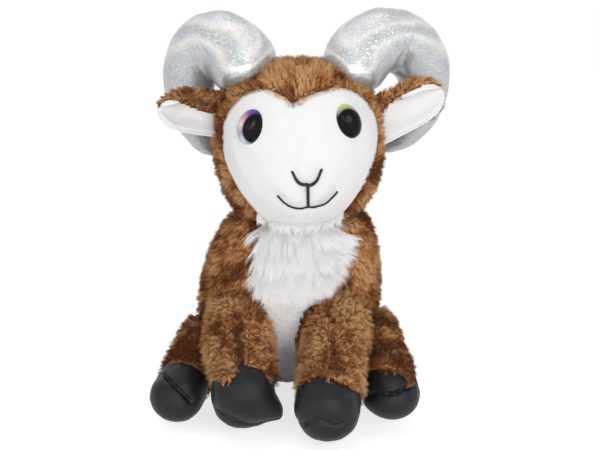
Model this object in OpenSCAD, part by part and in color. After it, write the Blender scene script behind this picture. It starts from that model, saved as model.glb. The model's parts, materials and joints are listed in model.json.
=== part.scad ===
// Sitting stuffed ram with curled horns, built as sewn skins over loose filling.
// Millimetres. X to the toy's own left, Y towards its back, Z up.
// The origin is the middle of the flat seat that it rests on.

/* [Fabric] */
// Thickness of every stuffed skin, pile included
skin_wall = 2.5; // [1.5:0.1:3.5]
// Thickness of each of the two layers of an ear
ear_wall = 2; // [1:0.1:3]
// Radius of the rolled seam that a limb, an ear or the tail swings on
seam_r = 1.8; // [1.2:0.1:2.5]
// Room left beside a piece that swings on its seam
sewn_gap = 1.3; // [1:0.1:1.6]
// Length of the rolled seam of a leg or the tail
tack_l = 9; // [6:1:12]

/* [Body] */
// Width of the body at its widest level
body_w = 115; // [104:1:124]
// Reach of the belly in front of the middle
body_front = 42; // [38:1:46]
// Reach of the back behind the middle
body_back = 48; // [40:1:56]
// Height of the widest level
belly_z = 52; // [44:1:60]
// Roundness of the upper body, as its reach above the widest level
body_top = 86; // [80:1:94]
// Roundness of the lower body, as its reach below the widest level
body_bottom = 54; // [53:1:60]
// How squarely the body, head and limbs are filled
fullness = 2.4; // [2:0.1:3]
// Forward lean of the body, in mm for each mm of height
body_lean = 0.21; // [0.1:0.01:0.3]
// How far the belly hangs forward of the seat
seat_back = 26; // [16:1:32]
// Sideways lean of the neck towards its left, in mm for each mm of height
body_sway = 0.07; // [0:0.005:0.1]
// Half width of the white chest panel at the neck
chest_top_w = 18; // [14:1:24]
// Half width of the white chest panel where it is widest
chest_w = 25; // [20:1:30]
// Height of that widest level
chest_z = 100; // [92:1:106]
// Half width of the white chest panel at the seat
chest_low_w = 14; // [8:1:20]
// Radius of the pellet bag in the seat
pellet_r = 20; // [14:1:22]
// Thickness of the pellet bag
pellet_h = 16; // [10:1:18]

/* [Neck] */
// Height of the neck seam above the seat
neck_z = 118; // [112:1:124]
// Height of the neck seam that the head turns on
neck_gap = 1.5; // [1:0.1:2]
// Room between that seam and the head
neck_play = 0.4; // [0.3:0.1:0.6]
// Mean radius of the neck seam
neck_r = 20; // [16:1:22]
// Width of the neck seam
neck_seam_w = 3; // [2:0.5:5]

/* [Head] */
// Width of the head
head_w = 100; // [88:1:112]
// Reach of the brow in front of the middle of the head
head_front = 44; // [38:1:50]
// Reach of the back of the head behind its middle
head_back = 42; // [36:1:48]
// Reach of the crown above the middle of the head
head_top = 47; // [42:1:54]
// Reach of the jaw below the middle of the head
head_bottom = 60; // [54:1:68]
// Height of the middle of the head above the neck seam
head_up = 46; // [42:1:50]
// How far the head sits forward of the neck
head_forward = 12; // [6:1:18]
// How far the muzzle swells from the face
muzzle = 6; // [2:0.5:10]
// Half width of that swelling
muzzle_w = 22; // [16:1:28]
// Half height of that swelling
muzzle_h = 17; // [12:1:22]
// Height of that swelling below the middle of the head
muzzle_down = 24; // [18:1:30]
// Turn of the head to its left as it sits
head_turn = 4; // [-10:1:10]
// Roll of the head as it sits, its left side up
head_roll = 3; // [-5:0.5:5]

/* [Face] */
// Distance of each eye from the middle of the face
eye_x = 28; // [24:0.5:32]
// Height of the eyes above the middle of the head
eye_up = 11; // [6:0.5:16]
// Length of an eye
eye_h = 20.5; // [16:0.5:24]
// Width of an eye
eye_w = 14.5; // [11:0.5:17]
// Height of the dome of an eye
eye_dome = 6; // [4:0.5:9]
// Lean of the eyes towards each other at the top
eye_lean = 18; // [0:1:30]
// Radius of the shank of an eye
shank_r = 1.8; // [1.2:0.1:2.5]
// Length of the shank behind the face
shank_l = 13; // [10:0.5:18]
// Radius of the washer that holds an eye
washer_r = 6; // [4.5:0.5:8]
// Depth of that washer behind the cloth
washer_back = 2.4; // [2:0.1:4]
// Thickness of that washer
washer_t = 1.6; // [1:0.1:3]
// Room round the shank in the cloth, and round the washer in the filling
shank_gap = 0.15; // [0.1:0.05:0.4]
// Half width of the stitched nose
nose_w = 8.6; // [6:0.2:11]
// Depth of the stitched nose
nose_h = 8.5; // [6:0.5:10]
// Height of the nose tips below the middle of the head
nose_down = 13.5; // [10:0.5:17]
// Half width of the stitched mouth
mouth_w = 17.5; // [12:0.5:22]
// Rise of the ends of the mouth
mouth_curl = 7.5; // [5:0.5:10]
// Height of the mouth below the middle of the head
mouth_down = 35.5; // [32:0.5:38]
// How far the stitching sits to the left of the middle
stitch_x = 2.2; // [-4:0.2:4]
// Radius of the thread of the nose
nose_thread = 1.1; // [0.7:0.1:1.6]
// Radius of the thread of the mouth
mouth_thread = 1; // [0.6:0.1:1.3]

/* [Horns] */
// Width of a horn where it leaves the head
horn_w = 38; // [30:1:40]
// Width of a horn near its tip
horn_tip_w = 13; // [8:1:18]
// Height of the top of the curl above its middle, on the centre line
horn_rise = 29; // [24:1:34]
// Width of the curl of the left horn, on the centre line
horn_left_reach = 52; // [46:1:56]
// Width of the curl of the right horn, on the centre line
horn_right_reach = 36; // [34:1:42]
// Reach of the curl backwards from its root to its tip
horn_back = 46; // [38:1:56]
// Depth of the tip below the middle of the curl
horn_drop = 38; // [34:1:46]
// Degrees of the curl, from the inner side over the top to the tip
horn_curl = 285; // [260:5:290]

/* [Ears] */
// Length of an ear from its seam
ear_l = 35; // [32:1:42]
// Height of the left ear at its widest
ear_left_w = 31; // [26:1:36]
// Height of the right ear at its widest
ear_right_w = 28; // [25:1:33]
// Height of the seam of the left ear on the head, in degrees
ear_left_seat = 9; // [0:1:24]
// Height of the seam of the right ear on the head, in degrees
ear_right_seat = 20; // [0:1:24]
// Rise of the left ear
ear_left_rise = 24; // [0:1:30]
// Rise of the right ear
ear_right_rise = 11; // [0:1:30]
// Forward sweep of the left ear
ear_left_sweep = 4; // [0:1:40]
// Forward sweep of the right ear
ear_right_sweep = 40; // [0:1:45]

/* [Legs] */
// Width of a front leg
front_leg_w = 40; // [37:1:43]
// Width of a rear leg
rear_leg_w = 34; // [32:0.5:36]
// Width of the left front hoof
front_left_hoof_w = 38; // [34:1:42]
// Width of the right front hoof, which lies flatter
front_right_hoof_w = 41; // [37:1:43]
// Width of a rear hoof
rear_hoof_w = 33; // [30:1:38]
// Length of each hoof along its leg
hoof_l = 27; // [24:1:32]
// Depth of the flat that a hoof rests on
hoof_flat = 0.8; // [0.5:0.1:2]
// Height of the seam of a front leg on the body
front_seam_z = 74; // [66:1:82]
// Height of the seam of a rear leg on the body
rear_seam_z = 54; // [51:1:56]
// Lift of a front leg, in degrees
front_lift = 60; // [30:5:60]
// Sag of a front leg at its knee
front_sag = 4.4; // [2:0.2:7]
// Rise of the left rear knee
rear_left_knee = 12; // [6:1:18]
// Rise of the right rear knee
rear_right_knee = -4; // [-8:1:6]
// Place of the left front toe beside the middle
front_left_side = 22; // [18:1:26]
// Place of the left front toe in front of the middle of the seat
front_left_reach = 156; // [146:1:164]
// Place of the right front toe beside the middle
front_right_side = 20; // [16:1:24]
// Place of the right front toe in front of the middle of the seat
front_right_reach = 139; // [134:1:150]
// Place of the left rear toe beside the middle
rear_left_side = 65; // [62:1:80]
// Place of the left rear toe in front of the middle of the seat
rear_left_reach = 122; // [112:1:126]
// Place of the right rear toe beside the middle
rear_right_side = 66; // [63:1:80]
// Place of the right rear toe in front of the middle of the seat
rear_right_reach = 117; // [108:1:124]

/* [Tail] */
// Length of the tail from its seam
tail_l = 30; // [22:1:36]
// Width of the tail
tail_w = 22; // [16:1:26]
// Height of the tail seam on the body
tail_z = 40; // [30:1:50]

/* [Hidden] */

// Columns round the body and the head, and round a limb
sides = 24;
limb_sides = 12;
// Overlap that makes a cut pass clear through
past = 1;
plush = [0.42, 0.26, 0.13];
velour = [0.95, 0.94, 0.92];
silver = [0.78, 0.8, 0.81];
nylon = [0.13, 0.13, 0.14];
fibre = [0.9, 0.9, 0.88];
black = [0.03, 0.03, 0.03];

// Helpers

function mix(a, b, t) = a + (b - a) * t;
function unit(v) = v / norm(v);
function smooth(t) = let (s = max(0, min(1, t))) s * s * (3 - 2 * s);
function round_off(t, p) = pow(max(0, 1 - pow(min(1, abs(t)), p)), 1 / p);

// Point at share t of a smooth curve through the points of q
function curve(q, t) = let (n = len(q) - 1, s = min(floor(t * n), n - 1), f = t * n - s,
  a = q[max(s - 1, 0)], b = q[s], c = q[s + 1], d = q[min(s + 2, n)])
  (2 * b + (c - a) * f + (2 * a - 5 * b + 4 * c - d) * f * f
  + (3 * b - a - 3 * c + d) * f * f * f) / 2;

// Two triangles of a four sided patch, seen from its outer side
function patch(a, b, c, d) = [[a, c, b], [a, d, c]];

// Solid whose skin passes through closed rings of points
module tube(rings) {
  m = len(rings);
  n = len(rings[0]);
  polyhedron([for (r = rings) each r], [
    for (i = [0:m - 2], j = [0:n - 1]) let (a = i * n, k = (j + 1) % n)
      each patch(a + j, a + k, a + n + k, a + n + j),
    for (j = [1:n - 2]) [0, j, j + 1],
    for (j = [1:n - 2]) [(m - 1) * n, (m - 1) * n + j + 1, (m - 1) * n + j]]);
}

// Skin between two sets of closed rings, open at its last ring, or at its first when pole is last
module shell(outer, inner, pole = "first") {
  m = len(outer);
  n = len(outer[0]);
  q = m * n;
  e = pole == "first" ? (m - 1) * n : 0;
  c = pole == "first" ? 0 : (m - 1) * n;
  f = pole == "first" ? 1 : -1;
  polyhedron([for (r = outer) each r, for (r = inner) each r], [
    for (i = [0:m - 2], j = [0:n - 1]) let (a = i * n, k = (j + 1) % n) each concat(
      patch(a + j, a + k, a + n + k, a + n + j),
      patch(q + a + j, q + a + n + j, q + a + n + k, q + a + k)),
    for (j = [0:n - 1]) let (k = (j + 1) % n, u = f > 0 ? j : k, w = f > 0 ? k : j)
      each patch(e + u, e + w, q + e + w, q + e + u),
    for (j = [1:n - 2]) let (u = f > 0 ? j : j + 1, w = f > 0 ? j + 1 : j) each [
      [c, c + u, c + w], [q + c, q + c + w, q + c + u]]]);
}

// Solid cloth between two grids of points with the same rows and columns
module sheet(outer, inner) {
  m = len(outer);
  n = len(outer[0]);
  q = m * n;
  l = (m - 1) * n;
  polyhedron([for (r = outer) each r, for (r = inner) each r], [
    for (i = [0:m - 2], j = [0:n - 2]) let (a = i * n + j) each concat(
      patch(a, a + 1, a + n + 1, a + n),
      patch(q + a, q + a + n, q + a + n + 1, q + a + 1)),
    for (j = [0:n - 2]) each concat(
      patch(j, q + j, q + j + 1, j + 1),
      patch(l + j, l + j + 1, q + l + j + 1, q + l + j)),
    for (i = [0:m - 2]) let (a = i * n, b = i * n + n - 1) each concat(
      patch(a, a + n, q + a + n, q + a),
      patch(b, q + b, q + b + n, b + n))]);
}

module above(z) {
  difference() {
    children();
    translate([0, 0, z - belly_z / 2]) cube([4 * body_w, 4 * body_w, belly_z], center = true);
  }
}

// Body

body_levels = [for (t = [0, 0.07, 0.19, 0.34, 0.49, 0.64, 0.8, 0.92, 1]) t * neck_z];

function body_swell(z) = round_off((z - belly_z) / (z > belly_z ? body_top : body_bottom), fullness);
function body_mid(z) = [body_sway * z * z / neck_z,
  -body_lean * z - seat_back * (1 - pow(1 - min(1, z / belly_z), 2)), z];
// Point of the body at angle a round it, the front being a quarter turn before its left side
function body_at(a, z, inset = 0) = let (k = body_swell(z)) body_mid(z)
  + [(body_w / 2 * k - inset) * cos(a), ((sin(a) < 0 ? body_front : body_back) * k - inset) * sin(a), 0];
function chest_edge(z) = z < chest_z ? mix(chest_low_w, chest_w, smooth(z / chest_z))
  : mix(chest_w, chest_top_w, smooth((z - chest_z) / (neck_z - chest_z)));
function chest_half(z) = asin(chest_edge(z) / (body_w / 2 * body_swell(z)));
function body_row(z, a, b, n, inset) = [for (i = [0:n]) body_at(mix(a, b, i / n), z, inset)];
function chest_row(z, inset) = let (c = chest_half(z)) body_row(z, -90 - c, -90 + c, 6, inset);
function brown_row(z, inset) = let (c = chest_half(z)) body_row(z, -90 + c, 270 - c, 18, inset);
function body_ring(z, inset) = let (b = brown_row(z, inset))
  concat(chest_row(z, inset), [for (i = [1:17]) b[i]]);
inner_levels = [for (z = body_levels) max(z, skin_wall)];

module body_skin() {
  color(plush) sheet([for (z = body_levels) brown_row(z, 0)],
    [for (z = inner_levels) brown_row(z, skin_wall)]);
}

module chest_panel() {
  color(velour) sheet([for (z = body_levels) chest_row(z, 0)],
    [for (z = inner_levels) chest_row(z, skin_wall)]);
}

module seat_panel() {
  color(plush) tube([body_ring(0, 0), body_ring(skin_wall, skin_wall)]);
}

bag_at = let (m = body_mid(skin_wall + past + pellet_h / 2)) [m.x, m.y + pellet_r / 4, skin_wall + past];

module pellet_bag() {
  color(velour) translate(bag_at) rotate_extrude($fn = 48) bag_outline();
}

// Half of the round outline of the pellet bag
module bag_outline() {
  r = pellet_h / 2;
  intersection() {
    union() {
      translate([pellet_r - r, r]) circle(r, $fn = 32);
      square([pellet_r - r, pellet_h]);
    }
    square([pellet_r, pellet_h]);
  }
}

module body_fill() {
  color(fibre) difference() {
    tube([for (z = inner_levels) body_ring(z, skin_wall)]);
    translate(bag_at) rotate_extrude($fn = 48) bag_outline();
  }
}

neck_at = body_mid(neck_z);

module neck_seam() {
  color(plush) translate(neck_at) difference() {
    cylinder(neck_gap - neck_play, r = neck_r + neck_seam_w / 2, $fn = 64);
    translate([0, 0, -past]) cylinder(neck_gap + 2 * past, r = neck_r - neck_seam_w / 2, $fn = 64);
  }
}

// Head, in its own frame with the origin in the middle of the neck seam

module on_neck() {
  translate(neck_at + [0, 0, neck_gap]) rotate([0, -head_roll, 0]) rotate([0, 0, head_turn]) children();
}

// Slope that keeps the underside of the rolled head level
module head_cut() {
  translate(neck_at + [0, 0, neck_gap]) above(0) translate(-neck_at - [0, 0, neck_gap]) children();
}

head_mid = [0, -head_forward, head_up];
face_rings = [0.06, 0.25, 0.5, 0.75, 1];
hood_rings = [0, 0.14, 0.3, 0.48, 0.66, 0.84, 0.97];
// Edge of the face, in degrees from straight ahead, from under the chin up to the peak
face_edge = [62, 60, 54, 53, 57, 64, 64, 58, 51, 40, 29];

function edge_at(a) = curve(face_edge, abs((a + 630) % 360 - 180) / 180);
function swell_of(x, z) = muzzle * exp(-pow(x / muzzle_w, 2) - pow((z + muzzle_down) / muzzle_h, 2));
function head_at(a, r, inset = 0) = let (
  d = [sin(r) * cos(a), -cos(r), sin(r) * sin(a)],
  k = 1 / pow(pow(abs(d.x), fullness) + pow(abs(d.y), fullness) + pow(abs(d.z), fullness), 1 / fullness),
  x = d.x * k * (head_w / 2 - inset),
  z = d.z * k * ((d.z > 0 ? head_top : head_bottom) - inset),
  y = d.y * k * ((d.y > 0 ? head_back : head_front) - inset))
  head_mid + [x, y - (d.y < 0 ? swell_of(x, z) : 0), z];
function head_ring(a_of, inset) = [for (j = [0:sides - 1]) let (a = -j * 360 / sides)
  head_at(a, a_of[0] == "face" ? edge_at(a) * a_of[1] : mix(edge_at(a), 180, a_of[1]), inset)];
function face_rows(inset) = [for (t = face_rings) head_ring(["face", t], inset)];
function hood_rows(inset) = [for (t = hood_rings) head_ring(["hood", t], inset)];

// Point of the front of the head at x and z from its middle
function face_point(x, z, lift = 0) = let (
  u = pow(abs(x) / (head_w / 2), fullness) + pow(abs(z) / (z > 0 ? head_top : head_bottom), fullness))
  head_mid + [x, -head_front * pow(max(0, 1 - u), 1 / fullness) - swell_of(x, z) - lift, z];
function face_normal(x, z) = unit(cross(face_point(x + 1, z) - face_point(x - 1, z),
  face_point(x, z + 1) - face_point(x, z - 1)));

module head_solid() {
  tube(concat(face_rows(0), [for (i = [1:len(hood_rings) - 1]) hood_rows(0)[i]]));
}

module head_hood() {
  color(plush) head_cut() on_neck() shell(hood_rows(0), hood_rows(skin_wall), "last");
}

module face_panel() {
  color(velour) head_cut() on_neck() difference() {
    shell(face_rows(0), face_rows(skin_wall));
    for (s = [1, -1]) at_eye(s) cylinder(4 * skin_wall, r = shank_r + shank_gap, center = true, $fn = 24);
  }
}

module head_fill() {
  color(fibre) head_cut() on_neck() difference() {
    tube(concat(face_rows(skin_wall), [for (i = [1:len(hood_rings) - 1]) hood_rows(skin_wall)[i]]));
    for (s = [1, -1]) at_eye(s) translate([0, 0, -shank_l - shank_gap])
      cylinder(shank_l, r = washer_r + shank_gap, $fn = 32);
  }
}

// Frame of an eye, its own Z pointing out of the face
module at_eye(s) {
  n = face_normal(s * eye_x, eye_up);
  translate(face_point(s * eye_x, eye_up))
    rotate([0, acos(n.z), atan2(n.y, n.x)])
    rotate([0, 0, 90 - s * (90 - eye_lean) + (s > 0 ? 0 : 180)]) children();
}

// Dome of an eye, sunk below the face so that the face trims it
module eye_dome_form() {
  tube([for (t = [-0.5, 0.1, 0.35, 0.6, 0.8, 0.95])
    let (k = t > 0 ? sqrt(1 - t * t) : 1)
    [for (j = [0:19]) [eye_h / 2 * k * cos(j * 18), eye_w / 2 * k * sin(j * 18), t * eye_dome]]]);
}

module eye(s) {
  on_neck() union() {
    difference() {
      at_eye(s) eye_dome_form();
      head_solid();
    }
    at_eye(s) translate([0, 0, -shank_l]) cylinder(shank_l + eye_dome / 3, r = shank_r, $fn = 24);
  }
}

module eye_left() { color(black) eye(1); }
module eye_right() { color(black) eye(-1); }

module eye_washer(s) {
  on_neck() at_eye(s) translate([0, 0, -skin_wall - washer_back - washer_t]) difference() {
    cylinder(washer_t, r = washer_r, $fn = 32);
    translate([0, 0, -past]) cylinder(washer_t + 2 * past, r = shank_r, $fn = 24);
  }
}

module eye_washer_left() { color(velour) eye_washer(1); }
module eye_washer_right() { color(velour) eye_washer(-1); }

// Round thread along a path of x and z on the face, laid on its surface
module thread(path, r, n) {
  p = [for (i = [0:n]) let (q = curve(path, i / n)) face_point(q.x + stitch_x, q.y, r * 0.3)];
  difference() {
    tube([for (i = [0:n]) let (t = unit(p[min(n, i + 1)] - p[max(0, i - 1)]),
      u = unit(cross([0, -1, 0], t)), v = cross(t, u))
      [for (j = [0:5]) p[i] + r * (u * cos(60 * j) + v * sin(60 * j))]]);
    head_solid();
  }
}

module nose_stitching() {
  color(black) on_neck() {
    thread([[-nose_w, -nose_down], [-nose_w * 0.62, -nose_down - nose_h * 0.65], [0, -nose_down - nose_h],
      [nose_w * 0.62, -nose_down - nose_h * 0.65], [nose_w, -nose_down]], nose_thread, 12);
    thread([[0, -nose_down - nose_h], [0, -mouth_down + 2 * mouth_thread]], nose_thread, 3);
  }
}

module mouth_stitching() {
  color(black) on_neck() thread([for (q = [[-1, 1], [-0.7, 0.25], [-0.3, -0.08], [0, 0], [0.3, -0.08],
    [0.7, 0.25], [1, 1]]) [q[0] * mouth_w, q[1] * mouth_curl - mouth_down]], mouth_thread, 16);
}

// Horns

horn_steps = 12;

function horn_root(s) = let (p = head_at(s > 0 ? 50 : 58, 86)) [s * p.x, p.y, p.z];
function horn_reach(s) = s > 0 ? horn_left_reach : horn_right_reach;
// Spine of a horn, by degrees round its curl from the inner side over the top
function horn_spine(s, a) = horn_root(s) + [s * horn_reach(s) / 2 * (cos(25) - cos(a)),
  horn_back * (a - 25) / 240, (a < 180 ? horn_rise : horn_drop) * sin(a) - horn_rise * sin(25)];
// Room for the inner side of the bend
function horn_bend(s, a) = let (w = horn_reach(s) / 2, h = a < 180 ? horn_rise : horn_drop)
  pow(pow(w * sin(a), 2) + pow(h * cos(a), 2), 1.5) / (w * h);
function horn_half(t) = t > 0.94 ? horn_tip_w / 2 * round_off((t - 0.94) / 0.061, 2)
  : mix(horn_w, horn_tip_w, pow(t / 0.94, 2.5)) / 2;
function horn_rows(s, inset) = [for (i = [0:horn_steps])
  let (t = i < horn_steps - 2 ? i / (horn_steps - 2) * 0.94 : [0.94, 0.98, 1][i - horn_steps + 2],
  a = mix(0, horn_curl, t), d = unit(horn_spine(s, a + 1) - horn_spine(s, a - 1)),
  c = horn_spine(s, a) - d * inset * smooth((t - 0.8) / 0.2),
  u = unit(cross([0, 1, 0], d)), v = cross(d, u), h = max(horn_tip_w / 8, horn_half(t)),
  r = h - min(inset, h / 2), k = min(r, horn_bend(s, a) * 0.86 - inset))
  [for (j = [0:limb_sides - 1]) let (f = j * 360 / limb_sides)
    c + u * (s * cos(f) > 0 ? k : r) * cos(f) + v * r * sin(f)]];

module horn(s) {
  on_neck() difference() {
    shell(horn_rows(s, 0), horn_rows(s, skin_wall), "last");
    head_solid();
  }
}

module horn_fill(s) {
  on_neck() difference() {
    tube(horn_rows(s, skin_wall));
    head_solid();
  }
}

module horn_left() { color(silver) horn(1); }
module horn_right() { color(silver) horn(-1); }
module horn_left_fill() { color(fibre) horn_fill(1); }
module horn_right_fill() { color(fibre) horn_fill(-1); }

// Ears, each a cupped leaf of two layers on an upright rolled seam

function ear_seam(s) = let (p = head_at(s > 0 ? ear_left_seat : ear_right_seat, 76))
  [s * (p.x + seam_r * 0.5), p.y - seam_r * 0.3, p.z];
function ear_w(s) = s > 0 ? ear_left_w : ear_right_w;
function ear_half(s, t) = ear_w(s) / 2 * (t < 0.3 ? mix(0.9, 1, t / 0.3) : round_off((t - 0.3) / 0.7, 2.5));
// Depth of the cup of an ear as a share of its half height, flatter at its seam
function ear_cup(t) = mix(0.35, 0.62, smooth(t / 0.5));
function ear_rows(g, inset) = let (s = g[0],
  e = [s * cos(g[1]) * cos(g[2]), -cos(g[1]) * sin(g[2]), sin(g[1])],
  v = unit([0, 0, 1] - e * e.z), w = cross(e, v) * -s)
  [for (t = [0, 0.14, 0.28, 0.44, 0.68, 0.88, 0.99]) let (h = ear_half(s, t),
    c = ear_seam(s) + e * (seam_r + 2 * sewn_gap + t * ear_l), r = h - min(inset, inset / ear_wall * h / 4),
    up = unit(mix([0, 0, 1], v, smooth(t))))
    [for (j = [0:7]) let (b = s > 0 ? mix(160, -56, j / 7) : mix(-56, 160, j / 7))
      c + r * (up * cos(b) + w * ear_cup(t) * sin(b)) - w * ear_cup(t) * h / 2]];
ear_left = [1, ear_left_rise, ear_left_sweep];
ear_right = [-1, ear_right_rise, ear_right_sweep];

module ear_part(g, a, b) {
  on_neck() sheet(ear_rows(g, a), ear_rows(g, b));
}

module ear_left_back() { color(plush) ear_part(ear_left, 0, ear_wall); }
module ear_right_back() { color(plush) ear_part(ear_right, 0, ear_wall); }
module ear_left_lining() { color(velour) ear_part(ear_left, ear_wall, 2 * ear_wall); }
module ear_right_lining() { color(velour) ear_part(ear_right, ear_wall, 2 * ear_wall); }

module ear_roll(s) {
  on_neck() difference() {
    translate(ear_seam(s)) cylinder(ear_w(s) * 0.36, r = seam_r, center = true, $fn = 24);
    head_solid();
  }
}

module ear_left_seam() { color(plush) ear_roll(1); }
module ear_right_seam() { color(plush) ear_roll(-1); }

// Legs, each given as its angle round the body, seam height, toe, leg width, hoof width,
// the angle, height and direction of the rolled seam that it swings on, and the rise of its knee

front_left = [-46, front_seam_z, [front_left_side, -front_left_reach],
  front_leg_w, front_left_hoof_w, -64, 0.5, 0, -front_sag];
front_right = [-138, front_seam_z, [-front_right_side, -front_right_reach],
  front_leg_w, front_right_hoof_w, -116, 0.5, 0, -front_sag];
rear_left = [-4, rear_seam_z, [rear_left_side, -rear_left_reach],
  rear_leg_w, rear_hoof_w, 9, 9, 1, rear_left_knee];
rear_right = [-176, rear_seam_z, [-rear_right_side, -rear_right_reach],
  rear_leg_w, rear_hoof_w, 171, 9, 1, rear_right_knee];

function body_out(a) = unit([cos(a) / body_w * 2, sin(a) / (sin(a) < 0 ? body_front : body_back), 0]);
function leg_seam(g) = body_at(g[5], g[1] - g[6]) + body_out(g[5]) * seam_r * 0.8;
function leg_toe(g) = [g[2].x, g[2].y, g[4] * 0.47 - hoof_flat];
function leg_root(g) = body_at(g[0], g[1]) - body_out(g[0]) * g[3] * 0.37 - [0, 0, g[3] * 0.15];
function leg_path(g) = let (a = leg_root(g), b = leg_toe(g))
  [a - unit(b - a) * g[3] * 0.3, mix(a, b, 0.42) + [0, 0, g[8]], b];
function bend(q, t) = q[0] * (1 - t) * (1 - t) + q[1] * 2 * t * (1 - t) + q[2] * t * t;
function bend_dir(q, t) = unit(mix(q[1] - q[0], q[2] - q[1], t));
function ankle(g) = 1 - hoof_l / norm(leg_path(g)[2] - leg_path(g)[0]);
function leg_half(g, t) = g[3] / 2 * mix(0.7, 1, smooth(t / 0.3))
  * mix(1, 0.94, smooth((t - 0.4) / 0.3));
function hoof_half(g, t) = let (s = (t - ankle(g)) / (1 - ankle(g)))
  s < 0.45 ? mix(g[3] * 0.47, g[4] / 2, smooth(s / 0.45))
  : g[4] / 2 * round_off((s - 0.45) / 0.55, 2.4);
function limb_ring(g, t, inset) = let (q = leg_path(g), d = bend_dir(q, t),
  c = bend(q, t) - d * inset * smooth((t - ankle(g)) / (1 - ankle(g))),
  u = unit(cross(d, [0, 0, 1])), n = cross(d, u),
  h = t < ankle(g) + 0.001 ? leg_half(g, t) : hoof_half(g, t),
  r = h - min(inset, h / 2))
  [for (j = [0:limb_sides - 1]) let (f = j * 360 / limb_sides) c + r * (u * cos(f) + n * sin(f) * 0.96)];
function leg_rows(g, inset) = [for (s = [0, 0.2, 0.4, 0.6, 0.8, 1]) limb_ring(g, s * ankle(g), inset)];
function hoof_rows(g, inset) = [for (s = [0, 0.3, 0.6, 0.8, 0.94, 0.995])
  limb_ring(g, mix(ankle(g), 1, s), inset)];

module body_solid(grow = 0) {
  tube([for (z = body_levels) body_ring(z, -grow)]);
}

// Short rolled stitch that a limb swings on, lying or upright
module tack(at, upright, grow = 0) {
  translate(at) rotate([0, 90 - 90 * upright, 0])
    cylinder(tack_l + 2 * grow, r = seam_r + grow, center = true, $fn = 24);
}

module sewn_to_body(g) {
  difference() {
    children();
    body_solid(sewn_gap);
    tack(leg_seam(g), g[7], sewn_gap);
  }
}

// Room that a front leg takes as it lifts
module lift_room(g) {
  hull() for (a = [0, front_lift / 2, front_lift])
    translate(leg_seam(g)) rotate([-a, 0, 0]) translate(-leg_seam(g))
      tube(concat(leg_rows(g, -sewn_gap), hoof_rows(g, -sewn_gap)));
}

module beside(g) {
  difference() {
    children();
    lift_room(g);
  }
}

module leg(g) {
  sewn_to_body(g) shell(leg_rows(g, 0), leg_rows(g, skin_wall));
}

module hoof(g) {
  above(0) shell(hoof_rows(g, 0), hoof_rows(g, skin_wall), "last");
}

module leg_fill(g) {
  h = hoof_rows(g, skin_wall);
  sewn_to_body(g) tube(concat(leg_rows(g, skin_wall), [for (i = [1:len(h) - 1]) h[i]]));
}

module leg_roll(g) {
  difference() {
    tack(leg_seam(g), g[7]);
    body_solid();
  }
}

module front_leg_left_seam() { color(plush) leg_roll(front_left); }
module front_leg_right_seam() { color(plush) leg_roll(front_right); }
module rear_leg_left_seam() { color(plush) leg_roll(rear_left); }
module rear_leg_right_seam() { color(plush) leg_roll(rear_right); }
module front_leg_left() { color(plush) leg(front_left); }
module front_leg_right() { color(plush) leg(front_right); }
module rear_leg_left() { color(plush) beside(front_left) leg(rear_left); }
module rear_leg_right() { color(plush) beside(front_right) leg(rear_right); }
module front_hoof_left() { color(nylon) hoof(front_left); }
module front_hoof_right() { color(nylon) hoof(front_right); }
module rear_hoof_left() { color(nylon) beside(front_left) hoof(rear_left); }
module rear_hoof_right() { color(nylon) beside(front_right) hoof(rear_right); }
module front_leg_left_fill() { color(fibre) leg_fill(front_left); }
module front_leg_right_fill() { color(fibre) leg_fill(front_right); }
module rear_leg_left_fill() { color(fibre) beside(front_left) leg_fill(rear_left); }
module rear_leg_right_fill() { color(fibre) beside(front_right) leg_fill(rear_right); }

// Tail

tail_at = body_at(90, tail_z) + [0, seam_r * 0.6, 0];

module tail_seam() {
  color(plush) difference() {
    tack(tail_at, 0);
    body_solid();
  }
}

module tail() {
  d = unit([0, 0.75, -0.66]);
  n = cross(d, [1, 0, 0]);
  color(plush) tube([for (t = [0, 0.15, 0.4, 0.65, 0.85, 0.97, 1])
    let (c = tail_at + d * (seam_r + sewn_gap + t * tail_l),
    a = tail_w / 2 * mix(0.6, 1, smooth(t / 0.5)) * (t > 0.6 ? round_off((t - 0.6) / 0.42, 2) : 1),
    b = tail_w / 2 * 0.8 * (t > 0.6 ? round_off((t - 0.6) / 0.42, 2) : max(0.15, smooth(t / 0.5))))
    [for (j = [0:limb_sides - 1]) let (f = j * 360 / limb_sides)
      c + [a * cos(f), 0, 0] + n * b * sin(f)]]);
}

body_skin();
chest_panel();
seat_panel();
body_fill();
pellet_bag();
neck_seam();
head_hood();
face_panel();
head_fill();
eye_left();
eye_right();
eye_washer_left();
eye_washer_right();
nose_stitching();
mouth_stitching();
horn_left();
horn_right();
horn_left_fill();
horn_right_fill();
ear_left_seam();
ear_right_seam();
ear_left_back();
ear_right_back();
ear_left_lining();
ear_right_lining();
front_leg_left_seam();
front_leg_right_seam();
rear_leg_left_seam();
rear_leg_right_seam();
front_leg_left();
front_leg_right();
rear_leg_left();
rear_leg_right();
front_hoof_left();
front_hoof_right();
rear_hoof_left();
rear_hoof_right();
front_leg_left_fill();
front_leg_right_fill();
rear_leg_left_fill();
rear_leg_right_fill();
tail_seam();
tail();
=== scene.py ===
"""Dresses the sitting stuffed ram: plush pile, velour face, glitter horns and cloth hooves."""

import json
import math

import bpy
import numpy as np
from mathutils import Euler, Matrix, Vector, noise
from mathutils.bvhtree import BVHTree
from mathutils.kdtree import KDTree

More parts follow.
